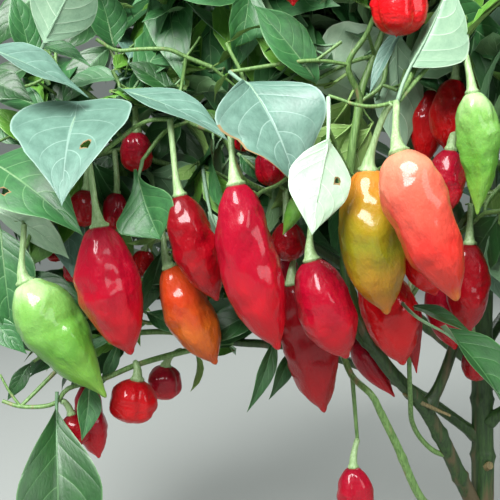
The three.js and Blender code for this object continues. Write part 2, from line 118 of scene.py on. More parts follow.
profile = [(0, 0), (BACKDROP["floor"], 0)]
for i in range(1, BACKDROP["bend steps"] + 1):
    bend = math.radians(BACKDROP["bend end"]) * i / BACKDROP["bend steps"]
    reach = BACKDROP["floor"] + BACKDROP["bend"] * math.sin(bend)
    profile.append((reach, BACKDROP["bend"] * (1 - math.cos(bend))))
profile.append(BACKDROP["rim"])
sides = BACKDROP["sides"]
points, faces = [], []
for i, (reach, height) in enumerate(profile):
    for j in range(sides):
        turn = 2 * math.pi * j / sides
        points.append(Vector((reach * math.cos(turn), reach * math.sin(turn), height)) * MM)
        if i:
            k = (j + 1) % sides
            faces.append(((i - 1) * sides + j, i * sides + j, i * sides + k, (i - 1) * sides + k))
backdrop_mesh = bpy.data.meshes.new("backdrop")
backdrop_mesh.from_pydata(points, [], faces, shade_flat=False)
# Matt pale paint, so that the floor and the wall give a soft grey ground without a shine
backdrop_paint, _ = finish_of("pale_backdrop_paint", Base_Color=linear(BACKDROP_GREY), Roughness=0.8)
backdrop_mesh.materials.append(backdrop_paint)
in_scene("backdrop", backdrop_mesh)

# The trunk and boughs: green stems, round with soft ribs, that turn woody and fissured towards the ground.
# Each grows out of its parent with a swollen collar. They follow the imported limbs' middle lines and girths,
# as tubes that Geometry Nodes run along those lines.
LIMBS = {  # girth at both ends, and the bends of the middle line
    "trunk": ((8.6, 6.2), ((0, 0, 0), (1, 1, 70), (-1, 2, 160), (0, 5, 240))),
    "left_bough": (
        (5.6, 3.4),
        ((0, 1, 40), (-18, -14, 74), (-50, -36, 132), (-84, -52, 172), (-106, -56, 220), (-104, -46, 262)),
    ),
    "left_fork_bough": ((4, 2.8), ((-50, -36, 132), (-40, -34, 150), (-30, -34, 180), (-24, -40, 208))),
    "front_left_bough": ((3.6, 2.6), ((-88, -53, 178), (-112, -46, 200), (-134, -38, 232), (-148, -36, 264))),
    "low_shoot": ((3, 2.4), ((1, 1, 24), (-30, -34, 50), (-56, -52, 78), (-74, -62, 116), (-86, -68, 140))),
    "low_left_bough": ((4.2, 2.8), ((0, 2, 100), (-60, 8, 140), (-130, 2, 166), (-180, -4, 172))),
    "far_left_bough": ((4.6, 2.8), ((-1, 2, 150), (-70, 14, 205), (-140, 0, 250), (-196, -18, 284))),
    "back_left_bough": ((4.4, 2.8), ((-1, 3, 182), (-28, 34, 205), (-62, 66, 232))),
    "right_front_bough": ((4.4, 2.8), ((1, 1, 112), (34, -32, 150), (66, -62, 196))),
    "right_bough": ((4.6, 2.8), ((-1, 2, 138), (56, -4, 190), (126, -12, 232))),
    "back_right_bough": ((4.4, 2.8), ((-1, 3, 166), (34, 36, 198), (72, 70, 236))),
    "leader_bough": ((5, 3), ((0, 5, 232), (6, 14, 300), (2, 22, 372), (6, 30, 442))),
    "upper_left_bough": ((4.8, 2.8), ((0, 5, 226), (-34, 6, 290), (-70, 4, 344), (-98, 4, 384))),
    "upper_front_bough": ((3.6, 2.6), ((5, 13, 292), (-10, -8, 334), (-28, -24, 376))),
    "upper_right_bough": ((4.8, 2.8), ((0, 5, 218), (36, 6, 280), (66, 2, 330), (88, 0, 368))),
}
FLARE = {"height": 34, "extra": 7}
COLLAR = {"reach": 9, "extra": 0.35}
LIMB_STEP = 3
BARK = {"sides": 28, "ribs": 5, "rib height": 0.05, "relief": 1.0, "young relief": 0.3, "grain": 2.4}
LEAF_SCAR = {"gap": 41, "swell": 0.2, "reach": 2.8}  # the swollen rings round a stem where leaves have been
SPLINE_LOOKS = 24  # a spline's length is measured in this many parts for each of its bends
GRAIN_RUN = (1.0, 1.0, 0.22)  # the bark's relief is drawn out along the plant's height
GROUND = (-9.0, -9.0, 0.0)  # no point of a stem lies lower than this
CORK_STRIP = 6  # a strip of cork is this many streaks wide


def put(tree, kind, feeds=None, **settings):
    """A new node with its settings. Each input in feeds gets a constant, an output, or a node's first one."""
    node = tree.nodes.new(kind)
    for name, value in settings.items():
        setattr(node, name, value)
    for name, value in (feeds or {}).items():
        if isinstance(value, bpy.types.Node):
            value = value.outputs[0]
        if isinstance(value, bpy.types.NodeSocket):
            tree.links.new(value, node.inputs[name])
        else:
            node.inputs[name].default_value = value
    return node


def spline_point(bends, share):
    """A point by share of the way along a centripetal spline through the bends."""
    spot = share * (len(bends) - 1)
    i = min(int(spot), len(bends) - 2)
    p1, p2 = bends[i], bends[i + 1]
    p0 = bends[i - 1] if i else 2 * p1 - p2
    p3 = bends[i + 2] if i + 2 < len(bends) else 2 * p2 - p1
    d0, d1, d2 = (math.sqrt(np.linalg.norm(b - a)) for a, b in ((p0, p1), (p1, p2), (p2, p3)))
    leave = ((p1 - p0) / d0 - (p2 - p0) / (d0 + d1) + (p2 - p1) / d1) * d1
    arrive = ((p2 - p1) / d1 - (p3 - p1) / (d1 + d2) + (p3 - p2) / d2) * d1
    t = spot - i
    bend = (3 * (p2 - p1) - 2 * leave - arrive) * t**2 + (2 * (p1 - p2) + leave + arrive) * t**3
    return p1 + leave * t + bend


def spaced_along(bends, step):
    """Evenly spaced points along the spline, about a step apart, and how far along each one is."""
    bends = [np.array(bend, float) for bend in bends]
    shares = np.linspace(0, 1, SPLINE_LOOKS * len(bends))
    fine = np.array([spline_point(bends, share) for share in shares])
    reached = np.concatenate([[0], np.cumsum(np.linalg.norm(np.diff(fine, axis=0), axis=1))])
    marks = np.linspace(0, reached[-1], math.ceil(reached[-1] / step) + 1)
    return np.array([spline_point(bends, share) for share in np.interp(marks, reached, shares)]), marks


def new_tree(name, inputs, output):
    """An empty Geometry Nodes tree with its named inputs, each of its kind, and one output of geometry."""
    tree = bpy.data.node_groups.new(name, "GeometryNodeTree")
    for label, kind in inputs.items():
        tree.interface.new_socket(label, in_out="INPUT", socket_type=f"NodeSocket{kind}")
    tree.interface.new_socket(output, in_out="OUTPUT", socket_type="NodeSocketGeometry")
    return tree


def tube_tree():
    """Round stems along every chain of edges, as thick as their points' girth, ribbed and roughened."""
    kinds = {
        "Lines": "Geometry",
        "Sides": "Int",
        "Ribs": "Float",
        "Rib Height": "Float",
        "Relief": "Float",
        "Relief Grain": "Float",
        "Finish": "Material",
    }
    tree = new_tree("stems_along_lines", kinds, "Stems")
    given = put(tree, "NodeGroupInput").outputs
    girth = put(tree, "GeometryNodeInputNamedAttribute", {"Name": "girth"}, data_type="FLOAT")
    girth = girth.outputs["Attribute"]
    line = put(tree, "GeometryNodeMeshToCurve", {"Mesh": given["Lines"]})
    ring = put(tree, "GeometryNodeCurvePrimitiveCircle", {"Resolution": given["Sides"], "Radius": 1.0})
    turn = put(tree, "GeometryNodeCaptureAttribute", {"Geometry": ring})
    turn.capture_items.new("FLOAT", "Around")
    around = put(tree, "GeometryNodeSplineParameter").outputs["Factor"]
    tree.links.new(around, turn.inputs["Around"])
    sweep = {"Curve": line, "Profile Curve": turn.outputs["Geometry"], "Scale": girth, "Fill Caps": True}
    tube = put(tree, "GeometryNodeCurveToMesh", sweep)
    wave = put(tree, "ShaderNodeMath", {0: turn.outputs["Around"], 1: given["Ribs"]}, operation="MULTIPLY")
    angle = put(tree, "ShaderNodeMath", {0: wave, 1: 2 * math.pi}, operation="MULTIPLY")
    rib = put(tree, "ShaderNodeMath", {0: angle}, operation="COSINE")
    rib = put(tree, "ShaderNodeMath", {0: rib, 1: given["Rib Height"]}, operation="MULTIPLY")
    rib = put(tree, "ShaderNodeMath", {0: rib, 1: girth}, operation="MULTIPLY")
    place = put(tree, "GeometryNodeInputPosition")
    grain = put(tree, "ShaderNodeVectorMath", {0: place, 1: GRAIN_RUN}, operation="MULTIPLY")
    fissures = {"Vector": grain, "Scale": given["Relief Grain"], "Detail": 3.0, "Roughness": 0.6}
    rough = put(tree, "ShaderNodeTexNoise", fissures)
    lift = put(tree, "ShaderNodeMath", {0: rough, 1: 0.5}, operation="SUBTRACT")
    lift = put(tree, "ShaderNodeMath", {0: lift, 1: given["Relief"]}, operation="MULTIPLY")
    lift = put(tree, "ShaderNodeMath", {0: lift, 1: rib}, operation="ADD")
    normal = put(tree, "GeometryNodeInputNormal")
    offset = put(tree, "ShaderNodeVectorMath", {0: normal, "Scale": lift}, operation="SCALE")
    moved = put(tree, "GeometryNodeSetPosition", {"Geometry": tube, "Offset": offset})
    above = put(tree, "ShaderNodeVectorMath", {0: place, 1: GROUND}, operation="MAXIMUM")
    level = put(tree, "GeometryNodeSetPosition", {"Geometry": moved, "Position": above})
    whole = put(tree, "GeometryNodeRealizeInstances", {"Geometry": level})
    dressed = put(tree, "GeometryNodeSetMaterial", {"Geometry": whole, "Material": given["Finish"]})
    out = put(tree, "NodeGroupOutput")
    tree.links.new(dressed.outputs["Geometry"], out.inputs["Stems"])
    return tree


def grown_mesh(name, mesh, tree, inputs):
    """The plain mesh that a node tree makes of a mesh, in an object of the scene."""
    piece = in_scene(name, mesh)
    modifier = piece.modifiers.new(name, "NODES")
    modifier.node_group = tree
    for item in tree.interface.items_tree:
        if item.in_out == "INPUT" and item.name in inputs:
            modifier[item.identifier] = inputs[item.name]
    depsgraph = bpy.context.evaluated_depsgraph_get()
    grown = piece.evaluated_get(depsgraph)
    made = bpy.data.meshes.new_from_object(grown, preserve_all_data_layers=True, depsgraph=depsgraph)
    piece.modifiers.clear()
    piece.data = made
    made.shade_smooth()
    return piece


def lines_mesh(name, lines):
    """A mesh of edges along each line of points, with a girth at every point."""
    points, girths, edges = [], [], []
    for line, girth in lines:
        start = len(points)
        points += [Vector(point) * MM for point in line]
        girths += [one * MM for one in girth]
        edges += [(i, i + 1) for i in range(start, len(points) - 1)]
    mesh = bpy.data.meshes.new(name)
    mesh.from_pydata(points, edges, [])
    mesh.attributes.new("girth", "FLOAT", "POINT").data.foreach_set("value", girths)
    return mesh


def limb_line(name):
    """A limb's points with its girths: tapering, swollen at its collar and at its leaf scars."""
    (thick, thin), bends = LIMBS[name]
    points, marks = spaced_along(bends, LIMB_STEP)
    girths = thick + (thin - thick) * marks / marks[-1]
    beside_scar = (marks + LEAF_SCAR["gap"] / 3) % LEAF_SCAR["gap"] - LEAF_SCAR["gap"] / 2
    girths *= 1 + LEAF_SCAR["swell"] * np.exp(-((beside_scar / LEAF_SCAR["reach"]) ** 2))
    if name == "trunk":
        girths += FLARE["extra"] * np.clip(1 - points[:, 2] / FLARE["height"], 0, 1) ** 2
    else:
        girths *= 1 + COLLAR["extra"] * np.exp(-((marks / COLLAR["reach"]) ** 2))
    return points, girths


def stem_skin(name, deep, pale, woody, woody_below, streak_width):
    """Green stem skin with pale streaks along it, which turns to tan, fissured wood below a height."""
    skin, shader = finish_of(name, Roughness=0.5, Coat_Weight=0.15, Coat_Roughness=0.35)
    tree = skin.node_tree
    place = put(tree, "ShaderNodeTexCoord").outputs["Object"]
    along = put(tree, "ShaderNodeMapping", {"Vector": place, "Scale": (1.0, 1.0, 0.12)})
    lines = {"Vector": along, "Scale": 1 / (streak_width * MM), "Detail": 4.0, "Roughness": 0.6}
    streaks = put(tree, "ShaderNodeTexNoise", lines)
    green = put(tree, "ShaderNodeValToRGB", {"Fac": streaks})
    green.color_ramp.elements[0].position = 0.32
    green.color_ramp.elements[0].color = linear(deep)
    green.color_ramp.elements[1].position = 0.74
    green.color_ramp.elements[1].color = linear(pale)
    strips = {"Vector": along, "Scale": 1 / (CORK_STRIP * streak_width * MM), "Detail": 3.0}
    patch = put(tree, "ShaderNodeTexNoise", strips)
    height = put(tree, "ShaderNodeSeparateXYZ", {0: place}).outputs["Z"]
    fall = {"Value": height, "From Min": 0.0, "From Max": woody_below * MM, "To Min": 0.5, "To Max": 0.0}
    fall = put(tree, "ShaderNodeMapRange", fall)
    wood = put(tree, "ShaderNodeMath", {0: patch, 1: fall}, operation="ADD")
    wood = put(tree, "ShaderNodeMapRange", {"Value": wood, "From Min": 0.6, "From Max": 0.72})
    mixed = {"Factor": wood, "A": green, "B": linear(woody)}
    colour = put(tree, "ShaderNodeMix", mixed, data_type="RGBA")
    tree.links.new(colour.outputs["Result"], shader.inputs["Base Color"])
    bump = put(tree, "ShaderNodeBump", {"Height": streaks, "Strength": 0.4, "Distance": 0.0005})
    tree.links.new(bump.outputs[0], shader.inputs["Normal"])
    return skin


def dress(piece, nodes):
    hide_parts(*nodes)
    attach(piece, "root")


stem_tubes = tube_tree()
# Ribbed pepper stem: a waxy, dark green skin with paler lines, and strips of tan cork near the ground. Its
# very dark green is partly painted shade, darker than the twigs because the trunk and boughs lie under the
# crown
bark = stem_skin("ribbed_green_bark", "#15300e", "#395b26", "#5a4e32", 100, 1.4)
# Young stem skin: smooth and lighter green, with whitish lines
twig_skin = stem_skin("green_twig_skin", "#456b2e", "#84a962", "#8a8058", 60, 1.0)
limb_inputs = {
    "Sides": BARK["sides"],
    "Ribs": float(BARK["ribs"]),
    "Rib Height": BARK["rib height"],
    "Relief": BARK["relief"] * MM,
    "Relief Grain": 1 / (BARK["grain"] * MM),
    "Finish": bark,
}
young_inputs = dict(limb_inputs, Finish=twig_skin, Relief=BARK["young relief"] * MM)
bough_names = [name for name in LIMBS if name not in ("trunk", "low_shoot")]
for piece_name, names, inputs in (
    ("trunk_bark", ["trunk"], limb_inputs),
    ("bough_bark", bough_names, limb_inputs),
    ("shoot_bark", ["low_shoot"], young_inputs),
):
    stems = lines_mesh(piece_name, [limb_line(name) for name in names])
    dress(grown_mesh(piece_name, stems, stem_tubes, inputs), names)

# Two short broken twigs on the left bough and a knob on the trunk, where shoots were lost. They are stumps of
# the same stems, dried to tan cork, and start a little way inside the limbs that they grew from.
STUBS = [  # girths at both ends, bends
    (2.6, 1.2, ((-50, -36, 131), (-58, -42, 140), (-67, -46, 146))),
    (1.7, 0.9, ((-60, -41, 141), (-48, -44, 136), (-36, -46, 131))),
    (3.8, 2.8, ((1, -3, 81), (2, -6, 83), (3, -8.5, 84))),
]
STUB = {"step": 2, "sides": 12}
# Tan cork: dull, dry and faintly streaked
cork = stem_skin("tan_cork", "#5b5a35", "#97855c", "#85704c", 90, 1.2)
stub_lines = []
for thick, thin, bends in STUBS:
    line, marks = spaced_along(bends, STUB["step"])
    stub_lines.append((line, thick + (thin - thick) * marks / marks[-1]))
stub_inputs = dict(limb_inputs, Sides=STUB["sides"], Finish=cork)
stubs = grown_mesh("stubs", lines_mesh("stubs", stub_lines), stem_tubes, stub_inputs)
dress(stubs, ["left_bough", "trunk"])

# The fruits in full view: waxy, thick-skinned peppers, long and pointed or short and lobed, in every ripeness
# from green to dark red. Each hangs from its shoulder, where the calyx sits, down to its tip, with soft dents
# and lobes along its sides.
SHOWN_FRUITS = [  # mass, ripeness, form, stalk's root, shoulder, drop, width, bow to the right
    ("far_left", "green", "pointed", (-307, -70, 258), (-306, -75, 222), (49, 0, -71), 37, -6),
    ("far_left", "crimson", "long", (-263, -88, 296), (-256, -95, 257), (18, 0, -75), 34, 0),
    ("far_left", "crimson", "round", (-243, -38, 334), (-241, -45, 316), (1, 0, -26), 20, 0),
    ("far_left", "dark_red", "round", (-272, -48, 295), (-272, -55, 279), (-1, 0, -24), 17, 0),
    ("front_left", "dark_red", "long", (-215, -90, 320), (-209, -95, 275), (22, 0, -61), 26, 0),
    ("front_left", "orange", "long", (-223, -62, 253), (-218, -72, 231), (29, 0, -60), 29, 0),
    ("front_left", "crimson", "long", (-179, -108, 309), (-176, -120, 281), (24, 0, -91), 33, -3),
    ("front_left", "crimson", "round", (-157, -52, 320), (-156, -60, 304), (1, 0, -23), 17, 0),
    ("front_left", "dark_red", "round", (-146, -58, 279), (-145, -66, 259), (2, 0, -25), 20, 0),
    ("front_left", "green", "slim", (-134, -92, 296), (-138, -100, 276), (-11, 0, -23), 11, 0),
    ("front_centre", "crimson", "long", (-132, -92, 264), (-133, -105, 238), (21, 0, -56), 33, -2),
    ("front_centre", "dark_red", "long", (-138, -58, 248), (-142, -66, 220), (21, 0, -81), 33, 0),
    ("front_centre", "olive", "long", (-92, -127, 325), (-103, -115, 289), (12, 0, -80), 37, -4),
    ("front_centre", "coral", "waisted", (-90, -128, 325), (-93, -152, 297), (31, 0, -75), 33, -4),
    ("front_centre", "red", "long", (-99, -70, 259), (-94, -78, 235), (20, 0, -63), 34, 0),
    ("front_centre", "red", "round", (-84, -100, 419), (-87, -110, 394), (0, 0, -31), 28, 0),
    ("front_right", "green", "pointed", (-51, -112, 360), (-47, -120, 331), (4, 0, -66), 23, 1),
    ("front_right", "red", "long", (-42, -70, 370), (-46, -80, 344), (-5, 0, -41), 21, 0),
    ("front_right", "red", "long", (-54, -50, 364), (-54, -55, 341), (-3, 0, -46), 19, 0),
    ("front_right", "crimson", "long", (-44, -80, 321), (-51, -90, 302), (-2, 0, -38), 22, 0),
    ("front_right", "dark_red", "long", (-31, -65, 270), (-35, -78, 246), (1, 0, -54), 25, 0),
    ("front_right", "crimson", "long", (-44, -40, 253), (-46, -50, 228), (11, 0, -52), 25, 0),
    ("front_right", "dark_red", "slim", (-66, -60, 229), (-68, -70, 211), (4, 0, -46), 13, 0),
    ("low_front", "crimson", "slim", (-104, -34, 197), (-95, -36, 182), (24, 0, -41), 20, -3),
    ("low_front", "crimson", "round", (-98, -52, 117), (-102, -60, 101), (4, 0, -34), 21, 0),
    ("low_left", "red", "round", (-245, -34, 164), (-243, -40, 153), (-7, 0, -29), 28, 0),
    ("low_left", "crimson", "round", (-216, -14, 168), (-229, 0, 154), (-2, 0, -25), 24, 0),
    ("low_left", "dark_red", "round", (-290, -55, 143), (-284, -50, 133), (3, 0, -21), 18, 0),
    ("upper_front", "crimson", "long", (-148, -82, 445), (-147, -90, 422), (4, 0, -37), 17, 0),
]
PEPPER = {"rows": 50, "sides": 40, "bunching": 0.6, "stray": 0.08, "oval": 0.03, "closing": 1.04}
SHOULDER = {"width": 0.3, "bend": 2.2, "swell": 0.72}  # its share of the fruit's width, and its rounding
WAIST = {"depth": 0.07, "at": 0.52, "reach": 0.12}
NUB = {"from": 0.84, "length": 0.16}
DENTS = ((1.1, 1), (2.4, 0.55), (4.2, 0.18))  # how fine each size of dent is, and its share of the depth
DENT_RUN = 1.5
CREASES = {"depth": 0.5, "above": 0.12, "run": (1.6, 1.6, 3.6)}
FURROWS = {"around": 1.5, "drift": 0.5, "wander": 0.4, "level": 0.4, "sharpness": 2.5}
PEPPER_FORMS = {  # where it is widest, how full and blunt below that, its nub, its lobes and its dents
    "long": (0.48, 2.3, 0.7, 0.22, 0.03, 0.14),
    "waisted": (0.3, 2.7, 0.75, 0.26, 0.03, 0.13),
    "pointed": (0.37, 1.7, 0.86, 0.15, 0.035, 0.16),
    "slim": (0.3, 1.7, 0.9, 0.14, 0.02, 0.05),
    "round": (0.46, 3.4, 0.5, 0.05, 0.24, 0.13),
}
PEPPER_SEED = 1500
DRAW_START, DRAW_TIMES, DRAW_WITHIN = 7919, 16807, 2147483647


def draws(seed):
    """An endless fixed row of numbers between 0 and 1."""
    state = seed * DRAW_START
    while True:
        state = state * DRAW_TIMES % DRAW_WITHIN
        yield state / DRAW_WITHIN


def unit(vector):
    return vector / np.linalg.norm(vector)


def frames_along(points):
    """For each point of a line, two sides across it that turn no more than they must."""
    runs = np.gradient(points, axis=0)
    side = np.eye(3)[np.abs(runs[0]).argmin()]
    frames = []
    for run in runs:
        run = unit(run)
        side = unit(side - run * (side @ run))
        frames.append((side, np.cross(run, side)))
    return frames


def lofted(rings, slot=0):
    """A closed form over rings of points, each the same way round, closed at both ends by a middle point."""
    rings = np.array(rings)
    count, sides, _ = rings.shape
    points = np.concatenate([rings.reshape(-1, 3), [rings[0].mean(0)], [rings[-1].mean(0)]])
    first, last = count * sides, count * sides + 1
    faces, marks = [], []
    for j in range(sides):
        k = (j + 1) % sides
        left, middle, right = j / sides, (j + 0.5) / sides, (j + 1) / sides
        faces.append((first, k, j))
        marks += [(middle, 0), (right, 0), (left, 0)]
        for i in range(count - 1):
            low, high = i / (count - 1), (i + 1) / (count - 1)
            faces.append((i * sides + j, i * sides + k, (i + 1) * sides + k, (i + 1) * sides + j))
            marks += [(left, low), (right, low), (right, high), (left, high)]
        faces.append((last, (count - 1) * sides + j, (count - 1) * sides + k))
        marks += [(middle, 1), (left, 1), (right, 1)]
    return {"points": points, "faces": faces, "marks": marks, "slots": [slot] * len(faces), "sharp": set()}


def pepper_girth(form, share):
    """A pepper's half width, as a share of its widest, by share of the way from shoulder to tip."""
    widest, full, blunt, nub, _, _ = PEPPER_FORMS[form]
    if share < widest:
        round_out = (1 - (1 - share / widest) ** SHOULDER["bend"]) ** SHOULDER["swell"]
        return SHOULDER["width"] + (1 - SHOULDER["width"]) * round_out
    body = max(0, 1 - ((share * PEPPER["closing"] - widest) / (1 - widest)) ** full) ** blunt
    if form == "waisted":
        body *= 1 - WAIST["depth"] * math.exp(-(((share - WAIST["at"]) / WAIST["reach"]) ** 2))
    nub *= math.sqrt(max(0.02, 1 - (max(0, share - NUB["from"]) / NUB["length"]) ** 3))
    return (body**3 + nub**3) ** (1 / 3)


def pepper_form(shoulder, drop, width, form, bow, seed):
    """A pepper round its bent middle line, with furrows between its lobes, dents and creases."""
    draw = draws(PEPPER_SEED + seed)
    length = np.linalg.norm(drop)
    stray = np.array([next(draw) - 0.5, next(draw) - 0.5, 0]) * length * PEPPER["stray"] + (bow, 0, 0)
    bends = [shoulder, shoulder + drop * 0.5 + stray, shoulder + drop]
    steps = np.linspace(0, 1, PEPPER["rows"] + 1)
    shares = PEPPER["bunching"] * (1 - np.cos(math.pi * steps)) / 2 + (1 - PEPPER["bunching"]) * steps
    line = np.array([spline_point(bends, share) for share in shares])
    lobes, dents = PEPPER_FORMS[form][4:]
    phases = [2 * math.pi * next(draw) for _ in range(2)]
    spot = Vector((seed * 7.3, 1.7, 4.1))
    turns = np.linspace(0, 2 * math.pi, PEPPER["sides"], endpoint=False)
    rings = []
    for share, point, (side, across) in zip(shares, line, frames_along(line)):
        ring = []
        for turn in turns:
            way = Vector((math.cos(turn), math.sin(turn), share * length / width * DENT_RUN))
            wander = FURROWS["drift"] * share + FURROWS["wander"] * math.sin(phases[1] + turn)
            furrow = 1 - abs(math.sin(FURROWS["around"] * turn + phases[0] + wander))
            swell = lobes * (FURROWS["level"] - furrow ** FURROWS["sharpness"])
            swell += PEPPER["oval"] * math.cos(2 * turn + phases[1] - 2 * share)
            for fineness, part in DENTS:
                swell += dents * part * noise.noise(way * fineness + spot)
            drawn_out = Vector([part * run for part, run in zip(way, CREASES["run"])])
            crease = noise.noise(drawn_out - spot)
            swell -= dents * CREASES["depth"] * max(0, crease - CREASES["above"])
            girth = width / 2 * pepper_girth(form, share) * (1 + swell)
            ring.append(point + girth * (side * math.cos(turn) + across * math.sin(turn)))
        rings.append(ring)
    return lofted(rings)


def joined(forms):
    """Several forms as one."""
    whole = {"points": [], "faces": [], "marks": [], "slots": [], "sharp": set()}
    start = 0
    for form in forms:
        whole["points"].append(form["points"])
        whole["faces"] += [tuple(spot + start for spot in face) for face in form["faces"]]
        whole["marks"] += form["marks"]
        whole["slots"] += form["slots"]
        whole["sharp"] |= {(a + start, b + start) for a, b in form["sharp"]}
        start += len(form["points"])
    whole["points"] = np.concatenate(whole["points"])
    return whole


def mesh_of(name, form, materials):
    """A mesh of a form, with its pattern's marks as a UV map and its sharp edges marked."""
    mesh = bpy.data.meshes.new(name)
    mesh.from_pydata((form["points"] * MM).tolist(), [], form["faces"], shade_flat=False)
    marks = mesh.uv_layers.new(name="OFBake")
    marks.uv.foreach_set("vector", np.array(form["marks"], np.float32).ravel())
    mesh.polygons.foreach_set("material_index", form["slots"])
    if form["sharp"]:
        flags = [tuple(sorted(edge.vertices)) in form["sharp"] for edge in mesh.edges]
        mesh.attributes.new("sharp_edge", "BOOLEAN", "EDGE").data.foreach_set("value", flags)
    for material in materials:
        mesh.materials.append(material)
    return mesh


# The pattern lies on the fruit's own marks, where one unit is half the fruit's width, about 15 mm
PEPPER_PATTERN = {"length": 4.5, "clouds": 1.1, "wrinkles": 4.0}


def pepper_skin(name, stops, mottle):
    """Waxy pepper skin: colours that change along the fruit, mottled, under a clear gloss."""
    skin, shader = finish_of(
        name,
        Roughness=0.34,
        Specular_IOR_Level=0.08,
        Coat_Weight=0.6,
        Coat_IOR=1.5,
        Coat_Roughness=0.12,
        Subsurface_Weight=0.06,
        Subsurface_Scale=0.004,
        Subsurface_Radius=(1.0, 0.25, 0.12),
    )
    tree = skin.node_tree
    marks = put(tree, "ShaderNodeUVMap", uv_map="OFBake")
    parts = put(tree, "ShaderNodeSeparateXYZ", {0: marks})
    angle = put(tree, "ShaderNodeMath", {0: parts.outputs[0], 1: 2 * math.pi}, operation="MULTIPLY")
    x = put(tree, "ShaderNodeMath", {0: angle}, operation="COSINE")
    y = put(tree, "ShaderNodeMath", {0: angle}, operation="SINE")
    z = put(tree, "ShaderNodeMath", {0: parts.outputs[1], 1: PEPPER_PATTERN["length"]}, operation="MULTIPLY")
    spot = put(tree, "ShaderNodeCombineXYZ", {0: x, 1: y, 2: z})
    clouds = {"Vector": spot, "Scale": PEPPER_PATTERN["clouds"], "Detail": 3.0}
    cloud = put(tree, "ShaderNodeTexNoise", clouds)
    push = put(tree, "ShaderNodeMapRange", {0: cloud, "To Min": -mottle, "To Max": mottle})
    along = put(tree, "ShaderNodeMath", {0: parts.outputs[1], 1: push}, operation="ADD")
    ramp = put(tree, "ShaderNodeValToRGB", {0: along})
    elements = ramp.color_ramp.elements
    elements[0].color = linear(stops[0])
    elements[1].color = linear(stops[1])
    for place, colour in stops.items():
        if 0 < place < 1:
            elements.new(place).color = linear(colour)
    tree.links.new(ramp.outputs[0], shader.inputs["Base Color"])
    wrinkles = {"Vector": spot, "Scale": PEPPER_PATTERN["wrinkles"], "Detail": 4.0, "Roughness": 0.6}
    fine = put(tree, "ShaderNodeTexNoise", wrinkles)
    bump = put(tree, "ShaderNodeBump", {"Height": fine, "Strength": 0.6, "Distance": 0.0018})
    tree.links.new(bump.outputs[0], shader.inputs["Normal"])
    return skin


# Pepper skin by ripeness: it goes from pale to full green, then turns through olive, orange and coral to a
# deep crimson. The gloss over it gives small clear lights that break up over the dents. The pale shoulders of
# the green and coral skins are partly their own colour and partly a painted highlight on the fruit's top.
RIPENESS = {  # colours by share of the way to the tip, and how far they are mottled
    "green": ({0: "#b0d494", 0.22: "#7cae58", 0.55: "#5c9634", 1: "#7ea844"}, 0.24),
    "olive": ({0: "#d27c30", 0.25: "#a8781e", 0.5: "#84821a", 0.78: "#ac741a", 1: "#d67c1c"}, 0.16),
    "orange": ({0: "#c84418", 0.35: "#bc3a18", 0.65: "#bc5c1a", 1: "#b84818"}, 0.25),
    "coral": ({0: "#e09070", 0.3: "#dc6450", 0.6: "#d23028", 0.85: "#d63c30", 1: "#e28438"}, 0.16),
    "crimson": ({0: "#940a26", 0.45: "#9e0922", 0.75: "#ba0a1c", 1: "#c80c16"}, 0.2),
    "red": ({0: "#b80c18", 0.5: "#c81018", 1: "#c80c10"}, 0.2),
    "dark_red": ({0: "#6e0410", 0.5: "#900614", 1: "#b00a12"}, 0.2),
}
pepper_skins = {
    ripeness: pepper_skin(f"waxy_{ripeness}_pepper_skin", stops, mottle)
    for ripeness, (stops, mottle) in RIPENESS.items()
}
foliage_nodes = [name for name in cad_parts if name.endswith("_foliage")]


def hang(name, forms, skins):
    """One piece of the foliage, of many forms joined."""
    dress(in_scene(name, mesh_of(name, joined(forms), skins)), foliage_nodes)


for ripeness, skin in pepper_skins.items():
    peppers = []
    for i, (_, tone, form, _, shoulder, drop, width, bow) in enumerate(SHOWN_FRUITS):
        if tone == ripeness:
            shoulder, drop = np.array(shoulder, float), np.array(drop, float)
            peppers.append(pepper_form(shoulder, drop, width, form, bow, i))
    hang(f"front_peppers_{ripeness}", peppers, [skin])

# The stalks of those fruits: green and faintly ribbed, down from the twig. Each widens like a trumpet to a
# narrow groove, and ends in the calyx, a thin uneven collar that sits on the pepper's shoulder.
STALK = {"middle": 1.8, "sides": 15, "step": 1.2, "neck": 7, "lean": 0.6, "rise at": 0.3, "ribs": 0.05}
STALK_RISE = {"arched": 4.0, "straight": 1.0}
TRUMPET = {"share": 0.86, "reach": 16, "bend": 1.6}
GROOVE = {"share": 0.76, "reach": 3.4}
CALYX = {"share": 0.165, "least": 2.4, "most": 5.6, "depth": 2.4, "teeth": 5, "tooth": 0.1}
SUNK = {"depth": 2.2, "foot": 0.7, "foot from": -0.8}  # what goes on inside the fruit narrows to a foot
ARCHED = ("olive", "coral")


def ring_round(point, girth, sides, turns):
    """A ring of points round a point of a line, across the line's run. The girth may change round it."""
    side, across = sides
    return point + girth * (side * np.cos(turns)[:, None] + across * np.sin(turns)[:, None])


